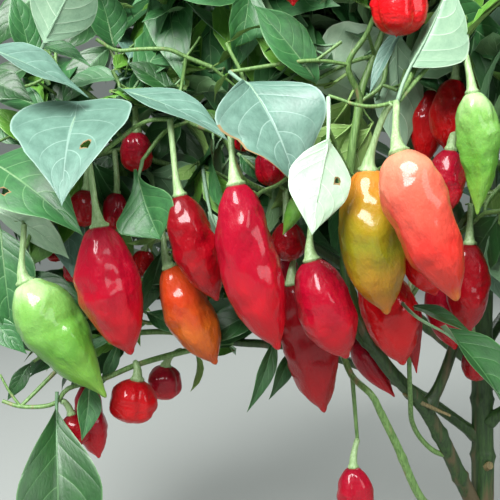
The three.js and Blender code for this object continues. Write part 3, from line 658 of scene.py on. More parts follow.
def stalk_form(root, shoulder, drop, width, arched):
    """A stalk from its twig to the fruit's shoulder, where its calyx ends a little way into the fruit."""
    down = unit(drop)
    neck = shoulder - unit(unit(shoulder - root) + down * STALK["lean"]) * STALK["neck"]
    rise = np.array((0, 0, STALK_RISE["arched" if arched else "straight"]))
    bends = [root, root + (neck - root) * STALK["rise at"] + rise, neck, shoulder + down * SUNK["depth"]]
    line, marks = spaced_along(bends, STALK["step"])
    calyx = min(max(width * CALYX["share"], CALYX["least"]), CALYX["most"])
    left = marks[-1] - marks - SUNK["depth"]
    widening = np.clip(1 - left / TRUMPET["reach"], 0, 1) ** TRUMPET["bend"]
    girths = STALK["middle"] + (calyx * TRUMPET["share"] - STALK["middle"]) * widening
    girths = np.where(left < GROOVE["reach"], calyx * GROOVE["share"], girths)
    girths = np.where(left < CALYX["depth"], calyx, girths)
    girths = np.where(left < SUNK["foot from"], calyx * SUNK["foot"], girths)
    turns = np.linspace(0, 2 * math.pi, STALK["sides"], endpoint=False)
    rings = []
    for point, girth, near, sides in zip(line, girths, left, frames_along(line)):
        rib = CALYX["tooth"] if near < CALYX["depth"] else STALK["ribs"]
        wide = girth * (1 + rib * np.cos(CALYX["teeth"] * turns))
        rings.append(ring_round(point, wide[:, None], sides, turns))
    return lofted(rings)


# Stalk skin: pale, waxy green with whitish lines along it, lighter than the twigs
stalk_skin = stem_skin("pale_green_stalk_skin", "#7a9d63", "#afcb95", "#afcb95", 1, 0.9)
shown_stalks = []
for _, tone, _, root, shoulder, drop, width, _ in SHOWN_FRUITS:
    root, shoulder, drop = (np.array(one, float) for one in (root, shoulder, drop))
    shown_stalks.append(stalk_form(root, shoulder, drop, width, tone in ARCHED))
hang("front_stalks", shown_stalks, [stalk_skin])

# The leaves in full view: soft, thin blades with a pale midrib and a few arching side veins, each on its own
# petiole. They are folded along the midrib, arched and wavy. Some are turned over and show their paler under
# side. Three have holes, and one a dry, brown edge. Each one's shade is partly its own green and partly
# painted light and shade: the deep ones stand where shade falls, the paler ones where light falls strongly.
SHOWN_LEAVES = {  # shade, petiole's root, foot, tip, width, upper side's way, fold, widest at, any damage
    "far_left": [
        ("blue_green", (-266, -52, 327), (-271, -85, 322), (-264, -150, 270), 69, (0, -0.9, 0.4), 0.12, 0.23,
         {"hole": (-0.42, 0.5, 3.4), "wave": 0.012}),
        ("mid", (-340, -50, 305), (-327, -60, 295), (-265, -95, 252), 48, (0, -0.8, 0.6), 0.2, 0.33,
         {"hole": (0.5, 0.36, 3.0)}),
        ("white", (-336, -40, 273), (-327, -52, 265), (-281, -64, 236), 30, (0, 0.8, 0.5), 0.2, 0.35),
        ("bright", (-236, -50, 343), (-246, -52, 335), (-283, -58, 321), 18, (0, -0.4, 0.9), 0.3, 0.4),
        ("blue_green", (-326, -90, 366), (-314, -98, 358), (-263, -84, 333), 30, (0, -0.5, 0.8), 0.3, 0.35),
        ("pale", (-295, -76, 358), (-286, -84, 371), (-260, -92, 414), 40, (-0.2, 0.9, 0.3), 0.2, 0.4),
        ("mid", (-292, -62, 344), (-301, -70, 359), (-310, -74, 398), 20, (0.4, -0.8, 0.4), 0.25, 0.4),
        ("pale", (-250, -38, 346), (-257, -40, 352), (-286, -46, 345), 26, (0, -0.6, 0.8), 0.25, 0.35),
        ("mid", (-306, -58, 360), (-297, -62, 368), (-265, -66, 354), 17, (0, -0.5, 0.9), 0.35, 0.4),
        ("deep", (-338, -56, 338), (-331, -60, 347), (-301, -66, 333), 22, (0.1, -0.8, 0.5), 0.2, 0.38),
        ("mid", (-334, -40, 262), (-330, -44, 250), (-322, -50, 184), 40, (0.2, -0.9, 0.3), 0.25, 0.4),
        ("mid", (-302, -34, 330), (-305, -36, 333), (-338, -40, 343), 25, (0, -0.7, 0.6), 0.2, 0.4),
        ("bright", (-303, -44, 308), (-308, -46, 310), (-333, -50, 331), 20, (0, -0.7, 0.6), 0.25, 0.4),
        ("mid", (-257, -26, 373), (-259, -28, 378), (-268, -32, 412), 28, (0.3, -0.8, 0.4), 0.2, 0.4),
        ("deep", (-316, -20, 362), (-319, -22, 360), (-344, -26, 342), 26, (0, -0.7, 0.6), 0.2, 0.4),
        ("deep", (-262, -20, 374), (-265, -24, 371), (-292, -30, 335), 27, (0, -0.8, 0.5), 0.2, 0.4),
        ("mid", (-296, -18, 342), (-295, -22, 340), (-263, -26, 332), 20, (0, -0.8, 0.5), 0.2, 0.4),
        ("deep", (-214, -16, 330), (-218, -20, 327), (-238, -26, 294), 25, (0, -0.8, 0.5), 0.2, 0.4),
        ("deep", (-305, -26, 410), (-308, -30, 407), (-332, -36, 372), 27, (0, -0.8, 0.5), 0.2, 0.4),
        ("deep", (-313, -42, 227), (-309, -46, 224), (-271, -52, 202), 14, (0, -0.8, 0.6), 0.25, 0.4),
        ("mid", (-342, -20, 329), (-338, -24, 326), (-308, -30, 306), 22, (0, -0.8, 0.5), 0.2, 0.4),
        ("deep", (-267, -10, 399), (-269, -14, 395), (-295, -22, 373), 26, (0, -0.8, 0.5), 0.2, 0.4),
        ("deep", (-256, -12, 334), (-255, -16, 330), (-258, -24, 306), 16, (0.2, -0.9, 0.3), 0.2, 0.4),
        ("deep", (-257, -12, 310), (-259, -16, 307), (-275, -24, 288), 16, (0, -0.9, 0.4), 0.2, 0.4),
        ("mid", (-340, -48, 198), (-336, -52, 196), (-311, -56, 174), 16, (0, -0.8, 0.5), 0.25, 0.4),
    ],
    "front_left": [
        ("blue_green", (-250, -62, 336), (-243, -70, 338), (-180, -110, 306), 31,
         (0.2, -0.5, 0.8), 0.25, 0.45),
        ("deep", (-210, -42, 336), (-218, -45, 342), (-246, -48, 360), 19, (0.2, -0.8, 0.5), 0.2, 0.45),
        ("mid", (-233, -76, 297), (-235, -82, 287), (-220, -96, 250), 42, (-0.4, -0.9, 0.2), 0.35, 0.64),
        ("pale", (-197, -72, 294), (-190, -82, 260), (-161, -90, 201), 27, (0.2, 0.9, 0.2), 0.3, 0.45),
        ("deep", (-152, -40, 210), (-160, -48, 202), (-200, -60, 181), 27, (0, -0.7, 0.7), 0.25, 0.4),
        ("deep", (-149, -62, 194), (-154, -70, 183), (-170, -84, 144), 12, (0.6, -0.7, 0.4), 0.3, 0.4),
        ("deep", (-226, -34, 240), (-227, -38, 236), (-239, -44, 198), 16, (0.4, -0.9, 0.2), 0.2, 0.45),
        ("mid", (-241, -18, 196), (-237, -22, 195), (-211, -34, 181), 15, (0, -0.7, 0.7), 0.2, 0.4),
    ],
    "front_centre": [
        ("mid", (-176, -20, 304), (-173, -24, 301), (-160, -28, 284), 13, (0.2, -0.9, 0.3), 0.2, 0.4),
        ("deep", (-70, -10, 289), (-69, -14, 285), (-65, -22, 252), 20, (0, -0.9, 0.3), 0.2, 0.4),
        ("blue_green", (-180, -86, 348), (-168, -102, 338), (-142, -122, 280), 64, (0.25, -0.9, 0.3),
         0.15, 0.38, {"worn": (1, 0.3, 0.92, 0.15)}),
        ("white", (-126, -126, 328), (-128, -140, 300), (-136, -146, 255), 34, (-0.1, 0.9, 0.3), 0.15, 0.4,
         {"hole": (0.55, 0.34, 1.5)}),
        ("mid", (-128, -64, 346), (-130, -74, 347), (-166, -88, 386), 30, (0.2, -0.9, 0.3), 0.25, 0.45),
        ("bright", (-129, -62, 345), (-132, -66, 345), (-165, -70, 371), 25, (0.2, -0.8, 0.5), 0.2, 0.45),
        ("pale", (-90, -128, 324), (-79, -122, 349), (-57, -112, 396), 46, (0.7, 0.7, 0.1), 0.75, 0.35),
        ("white", (-130, -62, 344), (-127, -63, 346), (-70, -50, 377), 50, (0, 0.9, 0.3), 0.15, 0.42),
        ("blue_green", (-79, -76, 380), (-81, -84, 370), (-99, -94, 334), 11, (-0.5, -0.8, 0.3), 0.5, 0.4),
        ("pale", (-81, -58, 386), (-79, -66, 370), (-73, -60, 298), 32, (0.1, 0.9, 0.2), 0.2, 0.42),
        ("mid", (-72, -62, 353), (-65, -68, 346), (-53, -76, 335), 15, (0.3, -0.6, 0.7), 0.3, 0.35),
    ],
    "front_right": [
        ("deep", (-82, -84, 217), (-61, -134, 201), (-36, -160, 162), 36, (0.3, -0.3, 0.9), 0.45, 0.4),
        ("deep", (-76, -84, 206), (-70, -90, 209), (-37, -100, 193), 14, (0, -0.4, 0.9), 0.3, 0.4),
    ],
    "low_front": [
        ("deep", (-135, -42, 191), (-141, -50, 176), (-156, -55, 144), 12, (0.5, -0.8, 0.3), 0.3, 0.4),
    ],
    "low_left": [
        ("deep", (-292, -57, 150), (-291, -64, 131), (-282, -102, 42), 56, (0.3, -0.9, 0.4), 0.4, 0.5),
        ("mid", (-268, -44, 158), (-273, -50, 151), (-275, -65, 120), 17, (0.6, -0.7, 0.4), 0.3, 0.4),
        ("deep", (-259, -20, 204), (-262, -24, 201), (-293, -34, 181), 23, (0, -0.8, 0.5), 0.2, 0.4),
        ("pale", (-262, -26, 180), (-264, -30, 179), (-280, -36, 171), 9, (0, -0.7, 0.7), 0.25, 0.4),
        ("mid", (-257, -20, 177), (-259, -24, 173), (-270, -30, 146), 10, (0.5, -0.8, 0.2), 0.3, 0.4),
        ("deep", (-314, -32, 164), (-317, -36, 161), (-329, -42, 140), 11, (0.3, -0.9, 0.2), 0.2, 0.4),
    ],
    "upper_left": [
        ("pale", (-214, -34, 402), (-207, -40, 397), (-177, -52, 365), 17, (0.3, -0.4, 0.9), 0.35, 0.4),
        ("mid", (-203, -34, 402), (-210, -40, 396), (-236, -52, 384), 18, (0, -0.4, 0.9), 0.3, 0.4),
    ],
}
BLADE = {"thick": 0.5, "tip power": 1.2, "bunching": 1.35}
RAGGED = {"depth": 0.07, "fine": 7, "apart": 0.37}
GNAWED = {"fine": 9, "ragged": 0.7}
WAVES = {"along": 8, "apart": 1.3, "end": 4}
FINE_MESH = (24, 9, 6)  # rows and half the columns of a blade, and the sides of its rib
RIB = {  # the petiole and the midrib are one: girths, sag and steps, and where it passes under the blade
    "at root": 1.25,
    "at foot": 1.05,
    "at tip": 0.25,
    "foot at": 0.3,
    "sag": 0.06,
    "below": 0.4,
    "step": 5,
    "long step": 18,
    "under blade": (0.06, 0.2, 0.4, 0.62),
}
MIDRIB = {"at foot": 0.045, "at tip": 0.022, "core": 0.4}
VEINS = {"pairs": 5.0, "bend": 1.5, "climb": 0.36, "width": 0.075, "core": 0.3, "left side later": 0.4}
VEINS_FADE = {"from": 0.4, "to": 0.95}
QUILT = {"patches": 5.0, "cells": 22.0, "cell height": 0.35}  # a blade 50 wide has cells of about 2
UPPER_SLOT, UNDER_SLOT, DRY_SLOT = 0, 1, 2  # the order of a leaf's three skins
HOLE = {"dry rim": 1.2, "most": 0.92, "ragged": 0.25, "wander": 2.3}
DRAWN_HABITS = {"arch": (0.06, 0.12), "wave": (0.03, 0.04), "lobes": (0.06, 0.08)}  # least, most on top
HEARTS = {"widest below": 0.3, "lobes": 0.22}  # leaves that are widest near their stalk are like hearts
LEAF_SEED = 900


def blade_row(i, rows):
    """How far along the blade a row of its mesh lies: the rows are closer at both ends."""
    return (1 - math.cos(math.pi * i / rows)) / 4 + i / rows / 2


def half_width(v, widest):
    """A leaf's half width by share of the way to its tip."""
    return math.sin(math.pi * v ** (math.log(0.5) / math.log(widest))) ** BLADE["tip power"]


def blade_surface(foot, tip, width, face, habit):
    """The surface of a leaf blade: a function of the places across, from -1 to 1, and along, from 0 to 1."""
    run = tip - foot
    length = np.linalg.norm(run)
    run = run / length
    across = unit(np.cross(run, face))
    upper = np.cross(across, run)
    own_spot = Vector(foot) * RAGGED["apart"]
    side, start, end, depth = habit.get("worn", (0, 0, 1, 0))

    def surface(u, v, lift=0.0):
        half = width / 2 * half_width(v, habit["widest"])
        rim_spot = Vector((v * RAGGED["fine"], math.copysign(3, u), 0)) + own_spot
        half *= 1 + RAGGED["depth"] * noise.noise(rim_spot)
        if u * side > 0 and start < v < end:
            bitten = noise.noise(Vector((v * GNAWED["fine"], 0, 5)))
            gnaw = math.sin(math.pi * (v - start) / (end - start)) + GNAWED["ragged"] * bitten
            half *= 1 - depth * max(0, gnaw)
        aside = abs(u) * half
        x = math.copysign(aside * math.cos(habit["fold"]), u)
        y = length * (v - habit["lobes"] * (1 - v) ** 3 * abs(u) ** 1.5)
        z = length * habit["arch"] * 2 * v * (1 - v) + aside * math.sin(habit["fold"])
        wave = math.sin(WAVES["along"] * v + math.copysign(WAVES["apart"], u))
        z += habit["wave"] * width * wave * u * u * min(1, WAVES["end"] * (1 - v))
        return foot + across * x + run * y + upper * (z + lift)

    return surface, upper


def hole_rims(surface, middle, outer, girth):
    """The rings round a hole in a blade: one of the mesh, then the outer and inner edge of its dry rim."""
    rims = [outer]
    for reach in (girth + HOLE["dry rim"], girth):
        rim = []
        for k, (u, v) in enumerate(outer):
            far = np.linalg.norm(surface(u, v) - surface(*middle))
            share = min(HOLE["most"], reach / far * (1 + HOLE["ragged"] * math.sin(HOLE["wander"] * k)))
            rim.append((middle[0] + (u - middle[0]) * share, middle[1] + (v - middle[1]) * share))
        rims.append(rim)
    return rims


def leaf_form(root, foot, tip, width, face, habit, rows, columns, rib_sides):
    """A closed leaf blade on its petiole, whose midrib goes on under the blade."""
    surface, upper = blade_surface(foot, tip, width, face, habit)
    form = {"points": [], "faces": [], "marks": [], "slots": [], "sharp": set()}
    index = {}

    def corner(side, u, v):
        """The number of a point. Both sides of the blade share those on its rim."""
        key = (0 if abs(u) == 1 or v in (0, 1) else side, 0 if v in (0, 1) else u, v)
        if key not in index:
            index[key] = len(form["points"])
            form["points"].append(surface(u, v, key[0] * BLADE["thick"] / 2))
        return index[key]

    def add_face(side, places, slot):
        spots, marks = [], []
        for u, v in places if side > 0 else places[:1] + places[:0:-1]:
            spot = corner(side, u, v)
            if spot not in spots:
                spots.append(spot)
                marks.append(((u + 1) / 2, v))
        form["faces"].append(tuple(spots))
        form["marks"] += marks
        form["slots"].append(slot)

    numbers = range(-columns, columns + 1)
    ways = [math.copysign(1 - (1 - abs(j) / columns) ** BLADE["bunching"], j) for j in numbers]
    steps = [blade_row(i, rows) for i in range(rows + 1)]
    hole = habit.get("hole")
    if hole:
        hole_across, hole_along, hole_girth = hole
        row = min(range(2, rows - 1), key=lambda i: abs(steps[i] - hole_along))
        way = min(range(2, 2 * columns - 1), key=lambda j: abs(ways[j] - hole_across))
    side_worn, start, end, _ = habit.get("worn", (0, 0, 1, 0))
    for side, skin in ((1, UPPER_SLOT), (-1, UNDER_SLOT)):
        for i in range(rows):
            for j in range(2 * columns):
                if hole and i in (row - 1, row) and j in (way - 1, way):
                    continue
                left, right, low, high = ways[j], ways[j + 1], steps[i], steps[i + 1]
                dry = side_worn * (left + right) > 2 * ways[-2] and start < low < end
                places = [(left, low), (right, low), (right, high), (left, high)]
                add_face(side, places, DRY_SLOT if dry else skin)
    if hole:
        ring = [(-1, -1), (0, -1), (1, -1), (1, 0), (1, 1), (0, 1), (-1, 1), (-1, 0)]
        outer = [(ways[way + a], steps[row + b]) for a, b in ring]
        rims = hole_rims(surface, (ways[way], steps[row]), outer, hole_girth)
        for side, skin in ((1, UPPER_SLOT), (-1, UNDER_SLOT)):
            for wide, narrow, slot in ((rims[0], rims[1], skin), (rims[1], rims[2], DRY_SLOT)):
                for k in range(len(ring)):
                    after = (k + 1) % len(ring)
                    add_face(side, [wide[k], wide[after], narrow[after], narrow[k]], slot)
        for a, b in zip(rims[2], rims[2][1:] + rims[2][:1]):
            form["faces"].append((corner(1, *a), corner(1, *b), corner(-1, *b), corner(-1, *a)))
            form["marks"] += [((u + 1) / 2, v) for u, v in (a, b, b, a)]
            form["slots"].append(DRY_SLOT)
    for way_out in (-1, 1):
        rim = [corner(1, way_out, v) for v in steps]
        form["sharp"] |= {tuple(sorted(pair)) for pair in zip(rim, rim[1:])}
    form["points"] = np.array(form["points"])
    under = [surface(0, v, -BLADE["thick"] * 0.5) for v in RIB["under blade"]]
    sag = (root + foot) / 2 - upper * np.linalg.norm(foot - root) * RIB["sag"]
    step = RIB["step"] if rib_sides >= FINE_MESH[2] else RIB["long step"]
    rib, marks = spaced_along([root, sag, foot - upper * RIB["below"], *under], step)
    knots, knot_girths = (0, RIB["foot at"], 1), (RIB["at root"], RIB["at foot"], RIB["at tip"])
    girths = np.interp(marks / marks[-1], knots, knot_girths)
    turns = np.linspace(0, 2 * math.pi, rib_sides, endpoint=False)
    rings = [ring_round(*part, turns) for part in zip(rib, girths, frames_along(rib))]
    return joined([form, lofted(rings, UNDER_SLOT)])


def vein_masks(tree):
    """How far a place is vein, from 0 to 1, how near it is to a side vein, and how far out it lies."""
    marks = put(tree, "ShaderNodeUVMap", uv_map="OFBake")
    parts = put(tree, "ShaderNodeSeparateXYZ", {0: marks})
    across = put(tree, "ShaderNodeMath", {0: parts.outputs[0], 1: 0.5}, operation="SUBTRACT")
    left = put(tree, "ShaderNodeMath", {0: across, 1: 0.0}, operation="LESS_THAN")
    out = put(tree, "ShaderNodeMath", {0: across}, operation="ABSOLUTE")
    out = put(tree, "ShaderNodeMath", {0: out, 1: 2.0}, operation="MULTIPLY")
    along = parts.outputs[1]
    back = put(tree, "ShaderNodeMath", {0: 1.0, 1: along}, operation="SUBTRACT")
    taper = {0: back, "To Min": MIDRIB["at tip"], "To Max": MIDRIB["at foot"]}
    taper = put(tree, "ShaderNodeMapRange", taper)
    inner = put(tree, "ShaderNodeMath", {0: taper, 1: MIDRIB["core"]}, operation="MULTIPLY")
    edges = {0: out, "From Min": taper, "From Max": inner}
    midrib = put(tree, "ShaderNodeMapRange", edges, interpolation_type="SMOOTHSTEP")
    climb = put(tree, "ShaderNodeMath", {0: out, 1: VEINS["bend"]}, operation="POWER")
    climb = put(tree, "ShaderNodeMath", {0: climb, 1: VEINS["climb"]}, operation="MULTIPLY")
    behind = put(tree, "ShaderNodeMath", {0: along, 1: climb}, operation="SUBTRACT")
    phase = put(tree, "ShaderNodeMath", {0: behind, 1: VEINS["pairs"]}, operation="MULTIPLY")
    shift = put(tree, "ShaderNodeMath", {0: left, 1: VEINS["left side later"]}, operation="MULTIPLY")
    phase = put(tree, "ShaderNodeMath", {0: phase, 1: shift}, operation="ADD")
    turn = put(tree, "ShaderNodeMath", {0: phase}, operation="FRACT")
    turn = put(tree, "ShaderNodeMath", {0: turn, 1: 0.5}, operation="SUBTRACT")
    turn = put(tree, "ShaderNodeMath", {0: turn}, operation="ABSOLUTE")
    near = put(tree, "ShaderNodeMath", {0: turn, 1: 2.0}, operation="MULTIPLY")
    edges = {0: near, "From Min": 1 - VEINS["width"], "From Max": 1 - VEINS["width"] * VEINS["core"]}
    line = put(tree, "ShaderNodeMapRange", edges, interpolation_type="SMOOTHSTEP")
    edges = {0: out, "From Min": VEINS_FADE["to"], "From Max": VEINS_FADE["from"]}
    fade = put(tree, "ShaderNodeMapRange", edges)
    line = put(tree, "ShaderNodeMath", {0: line, 1: fade}, operation="MULTIPLY")
    veins = put(tree, "ShaderNodeMath", {0: midrib, 1: line}, operation="MAXIMUM")
    return marks, veins, near, out


def blade_skin(name, green, varied, vein, rough, vein_share, raised):
    """One side of a leaf: waxy green skin, paler along its veins and rim, quilted between the veins."""
    skin, shader = finish_of(name, Roughness=rough, Coat_Weight=0.14, Coat_Roughness=0.32)
    tree = skin.node_tree
    marks, veins, near, out = vein_masks(tree)
    patches = {"Vector": marks, "Scale": QUILT["patches"], "Detail": 5.0, "Roughness": 0.7}
    mottle = put(tree, "ShaderNodeTexNoise", patches)
    mottle = put(tree, "ShaderNodeMapRange", {0: mottle, "From Min": 0.3, "From Max": 0.7})
    mixed = {"Factor": mottle, "A": linear(green), "B": linear(varied)}
    base = put(tree, "ShaderNodeMix", mixed, data_type="RGBA")
    rim = put(tree, "ShaderNodeMapRange", {0: out, "From Min": 0.955, "From Max": 1.0, "To Max": 0.7})
    light = put(tree, "ShaderNodeMath", {0: veins, 1: vein_share}, operation="MULTIPLY")
    light = put(tree, "ShaderNodeMath", {0: light, 1: rim}, operation="MAXIMUM")
    mixed = {"Factor": light, "A": base.outputs["Result"], "B": linear(vein)}
    colour = put(tree, "ShaderNodeMix", mixed, data_type="RGBA")
    tree.links.new(colour.outputs["Result"], shader.inputs["Base Color"])
    small = {"Vector": marks, "Scale": QUILT["cells"]}
    cells = put(tree, "ShaderNodeTexVoronoi", small, feature="DISTANCE_TO_EDGE")
    fine = put(tree, "ShaderNodeMath", {0: cells, 1: QUILT["cell height"]}, operation="MULTIPLY")
    sunk = put(tree, "ShaderNodeMath", {0: near, 1: 4.0}, operation="POWER")
    sunk = put(tree, "ShaderNodeMath", {0: sunk, 1: veins}, operation="MAXIMUM")
    sunk = put(tree, "ShaderNodeMath", {0: sunk, 1: raised}, operation="MULTIPLY")
    height = put(tree, "ShaderNodeMath", {0: fine, 1: sunk}, operation="ADD")
    bump = put(tree, "ShaderNodeBump", {"Height": height, "Strength": 0.5, "Distance": 0.0008})
    tree.links.new(bump.outputs[0], shader.inputs["Normal"])
    return skin


# Pepper leaf: a thin waxy skin with a soft shine. The upper side is the darker one, with its veins sunk and
# a little paler, and the under side is dull and pale, with its veins standing out. The shades are partly the
# leaves' own greens and partly painted light: deep is painted shade for leaves inside the plant, bright is
# partly the lighter green of young leaves and partly painted light shining through a leaf, blue_green holds
# a painted bluish sheen on the upper side, and pale and white are paler copies for brightly lit leaves.
UPPER = {  # blade, its paler patches, veins
    "deep": ("#1b421d", "#2c5c2b", "#618c58"),
    "mid": ("#2b5a33", "#427e45", "#82b076"),
    "bright": ("#4c842c", "#699c3a", "#a2c878"),
    "blue_green": ("#4c6e60", "#6d9282", "#a3c0b2"),
    "pale": ("#4f8058", "#6b9a6e", "#a2c39c"),
    "white": ("#779e7a", "#94b890", "#c0d6ba"),
}
UNDER = {
    "deep": ("#557d57", "#6d926b", "#a3bf9c"),
    "mid": ("#648c5c", "#7fa373", "#adc9a0"),
    "bright": ("#759b4e", "#8cb160", "#b9d294"),
    "blue_green": ("#71957c", "#8cad93", "#bdd3bc"),
    "pale": ("#73967a", "#8dad8e", "#bdd2b8"),
    "white": ("#9fc2a2", "#c2dcbf", "#d6e8cf"),
}
# Dead leaf edge: dry, dull and tan
dry_edge, _ = finish_of("dry_leaf_edge", Base_Color=linear("#8c7650"), Roughness=0.85)
leaf_skins = {
    shade: [
        blade_skin(f"{shade}_leaf_upper_side", *UPPER[shade], 0.42, 0.4, -0.5),
        blade_skin(f"{shade}_leaf_under_side", *UNDER[shade], 0.62, 0.7, 0.5),
        dry_edge,
    ]
    for shade in UPPER
}
shown_leaves = [leaf for leaves in SHOWN_LEAVES.values() for leaf in leaves]
shown_blades = {shade: [] for shade in leaf_skins}
for i, (shade, root, foot, tip, width, face, fold, widest, *damage) in enumerate(shown_leaves):
    draw = draws(LEAF_SEED + i)
    habit = {kind: least + more * next(draw) for kind, (least, more) in DRAWN_HABITS.items()}
    habit |= {"fold": fold, "widest": widest}
    if widest < HEARTS["widest below"]:
        habit["lobes"] = HEARTS["lobes"]
    for change in damage:
        habit |= change
    root, foot, tip, face = (np.array(one, float) for one in (root, foot, tip, face))
    shown_blades[shade].append(leaf_form(root, foot, tip, width, face, habit, *FINE_MESH))
for shade, blades in shown_blades.items():
    hang(f"front_leaves_{shade}", blades, leaf_skins[shade])

# The twigs: one green stem forks on from each bough's tip, by the seeded rule that gave the solids their
# twigs. It leads to spread places inside its mass of foliage and to what hangs there in full view. A twig
# ends where its last leaf or fruit is.
MASSES = {  # the limb that carries it, the middle and reach of its space, its twigs' ends, its hidden fruits
    "far_left": ("far_left_bough", (-272, -30, 318), (88, 90, 98), 6, 0),
    "front_left": ("front_left_bough", (-184, -58, 326), (88, 80, 92), 6, 0),
    "front_centre": ("left_bough", (-96, -72, 340), (84, 74, 94), 5, 0),
    "front_right": ("left_fork_bough", (-14, -84, 290), (84, 80, 104), 7, 0),
    "low_front": ("low_shoot", (-110, -72, 156), (66, 50, 66), 0, 0),  # the photograph shows its space open
    "low_left": ("low_left_bough", (-246, 4, 190), (98, 88, 76), 8, 1),
    "back_left": ("back_left_bough", (-136, 104, 292), (128, 112, 126), 9, 2),
    "back_right": ("back_right_bough", (122, 118, 292), (122, 112, 126), 9, 3),
    "right": ("right_bough", (216, -14, 276), (116, 110, 118), 9, 3),
    "right_front": ("right_front_bough", (104, -106, 262), (106, 96, 110), 8, 3),
    "upper_left": ("upper_left_bough", (-166, 16, 440), (132, 124, 108), 9, 2),
    "upper_front": ("upper_front_bough", (-48, -66, 448), (104, 98, 104), 8, 1),
    "upper_right": ("upper_right_bough", (124, -4, 428), (124, 122, 112), 9, 2),
    "top": ("leader_bough", (12, 38, 530), (126, 118, 112), 10, 1),
}
SHOWN_TWIGS = [  # mass that it grows from, or none for a limb, girths at both ends, bends
    ("upper_front", 1.7, 1.1, (
        (-36, -82, 400), (-41, -92, 383), (-54, -102, 364), (-75, -118, 341), (-88, -126, 326),
    )),
    ("upper_front", 1.3, 0.9, (
        (-88, -126, 326), (-102, -128, 323), (-112, -128, 324), (-120, -127, 327), (-126, -126, 329),
    )),
    ("far_left", 1.6, 1.2, (
        (-257, -70, 303), (-246, -76, 310), (-237, -81, 316), (-227, -85, 320), (-213, -90, 320),
    )),
    ("front_left", 1.6, 1.2, (
        (-192, -54, 356), (-208, -56, 362), (-218, -58, 366), (-236, -60, 366), (-251, -62, 365),
        (-262, -66, 371),
    )),
    ("front_left", 0.9, 0.7, (
        (-208, -56, 362), (-202, -56, 370), (-199, -58, 374),
    )),
    ("front_centre", 3.2, 1.6, (
        (-104, -46, 262), (-105, -58, 282), (-105, -62, 298), (-102, -63, 322), (-99, -62, 341),
        (-91, -60, 362), (-83, -56, 385), (-74, -50, 410),
    )),
    ("front_centre", 1.5, 1.1, (
        (-91, -60, 362), (-105, -62, 358), (-127, -64, 347), (-136, -66, 341),
    )),
    ("low_left", 2.6, 1.3, (
        (-180, -4, 172), (-193, -8, 171), (-217, -16, 167), (-245, -34, 162), (-266, -46, 155),
        (-286, -54, 151), (-294, -56, 142), (-316, -56, 140), (-328, -54, 143),
    )),
    ("low_left", 1.0, 0.8, (
        (-316, -56, 140), (-324, -54, 150), (-330, -52, 160),
    )),
    ("", 2.0, 1.2, (
        (-31, -23, 96), (-42, -27, 101), (-52, -30, 111), (-59, -36, 124), (-63, -48, 144), (-66, -58, 164),
        (-68, -64, 188), (-76, -78, 210), (-82, -84, 217),
    )),
]
SEAT_GAP = 0.3
LISTED_STEPS = {"drawn": 4, "searched": 3, "seen": 12}
HELD_WITHIN = 6  # a listed twig carries what is rooted this near to it
LIMB_RUN = 34
TWIG = {"start": 2.2, "end": 1.2, "taper": 0.86, "rooted": 0.7, "run": 12, "step": 5}
TWIG_SIDES = 7
FORK_SHARES = (0.52, 0.4, 0.66, 0.26)
TWIGS_REACH = 0.62
LONELIEST_OF = 10
ROUNDS_PER_END = 5
ROOM_ROUND = {"limb": 2.5, "fruit": 2, "space": 0.035}
LOOKED_AT = (0.3, 0.5, 0.7, 0.9, 1)
FIRST_SEED = 11
UP = np.array((0.0, 0.0, 1.0))

mass_middles = np.array([mass[1] for mass in MASSES.values()], float)
mass_reaches = np.array([mass[2] for mass in MASSES.values()], float)
limb_runs = []
for (girth, _), bends in LIMBS.values():
    points, _ = spaced_along(bends, LIMB_RUN)
    limb_runs += [(a, b, girth) for a, b in zip(points, points[1:])]
limb_starts, limb_ends, limb_girths = (np.array(column, float) for column in zip(*limb_runs))
fruit_lines = []
for _, _, _, _, shoulder, drop, width, _ in SHOWN_FRUITS:
    shoulder = np.array(shoulder, float)
    fruit_lines.append([shoulder, shoulder + drop, width / 2])


def drawn_offset(draw):
    return np.array([next(draw) - 0.5 for _ in range(3)])


def shares_of_reach(point):
    """How far a point lies from the middle of each mass, as a share of the mass's reach."""
    return np.linalg.norm((point - mass_middles) / mass_reaches, axis=1)


def owns_point(mass, point, most):
    """A mass owns what is nearer to its own middle than to any other's, by these shares."""
    shares = shares_of_reach(point)
    own = shares[mass] + ROOM_ROUND["space"]
    return own <= most and (own < np.delete(shares, mass)).all()


def distances(point, starts, ends):
    """How far a point lies from each of many straight runs."""
    runs = ends - starts
    shares = np.clip(((point - starts) * runs).sum(1) / (runs**2).sum(1), 0, 1)
    return np.linalg.norm(starts + runs * shares[:, None] - point, axis=1)


def clear_of_limbs(point):
    return (distances(point, limb_starts, limb_ends) > limb_girths + ROOM_ROUND["limb"]).all()


def clear_of_fruits(point):
    starts, ends, girths = (np.array(column) for column in zip(*fruit_lines))
    return (distances(point, starts, ends) > girths + ROOM_ROUND["fruit"]).all()


def line_clear(start, end):
    return all(clear_of_limbs(start + (end - start) * share) for share in LOOKED_AT)


def spread_ends(mass, count, draw):
    """Evenly spread places for the twigs' ends: each is the loneliest of a few that are drawn."""
    ends = []
    for _ in range(count * ROUNDS_PER_END):
        if len(ends) == count:
            break
        best, most = None, 0
        for _ in range(LONELIEST_OF):
            point = drawn_offset(draw) * 2 * TWIGS_REACH * mass_reaches[mass] + mass_middles[mass]
            lonely = min((np.linalg.norm(end - point) for end in ends), default=math.inf)
            free = owns_point(mass, point, TWIGS_REACH) and clear_of_limbs(point) and clear_of_fruits(point)
            if lonely > most and free:
                best, most = point, lonely
        if best is not None:
            ends.append(best)
    return ends


def halves(points):
    """The points in two halves, along the axis that they spread over most."""
    axis = np.ptp(points, axis=0).argmax()
    ordered = sorted(points, key=lambda point: point[axis])
    return ordered[: len(points) // 2], ordered[len(points) // 2 :]


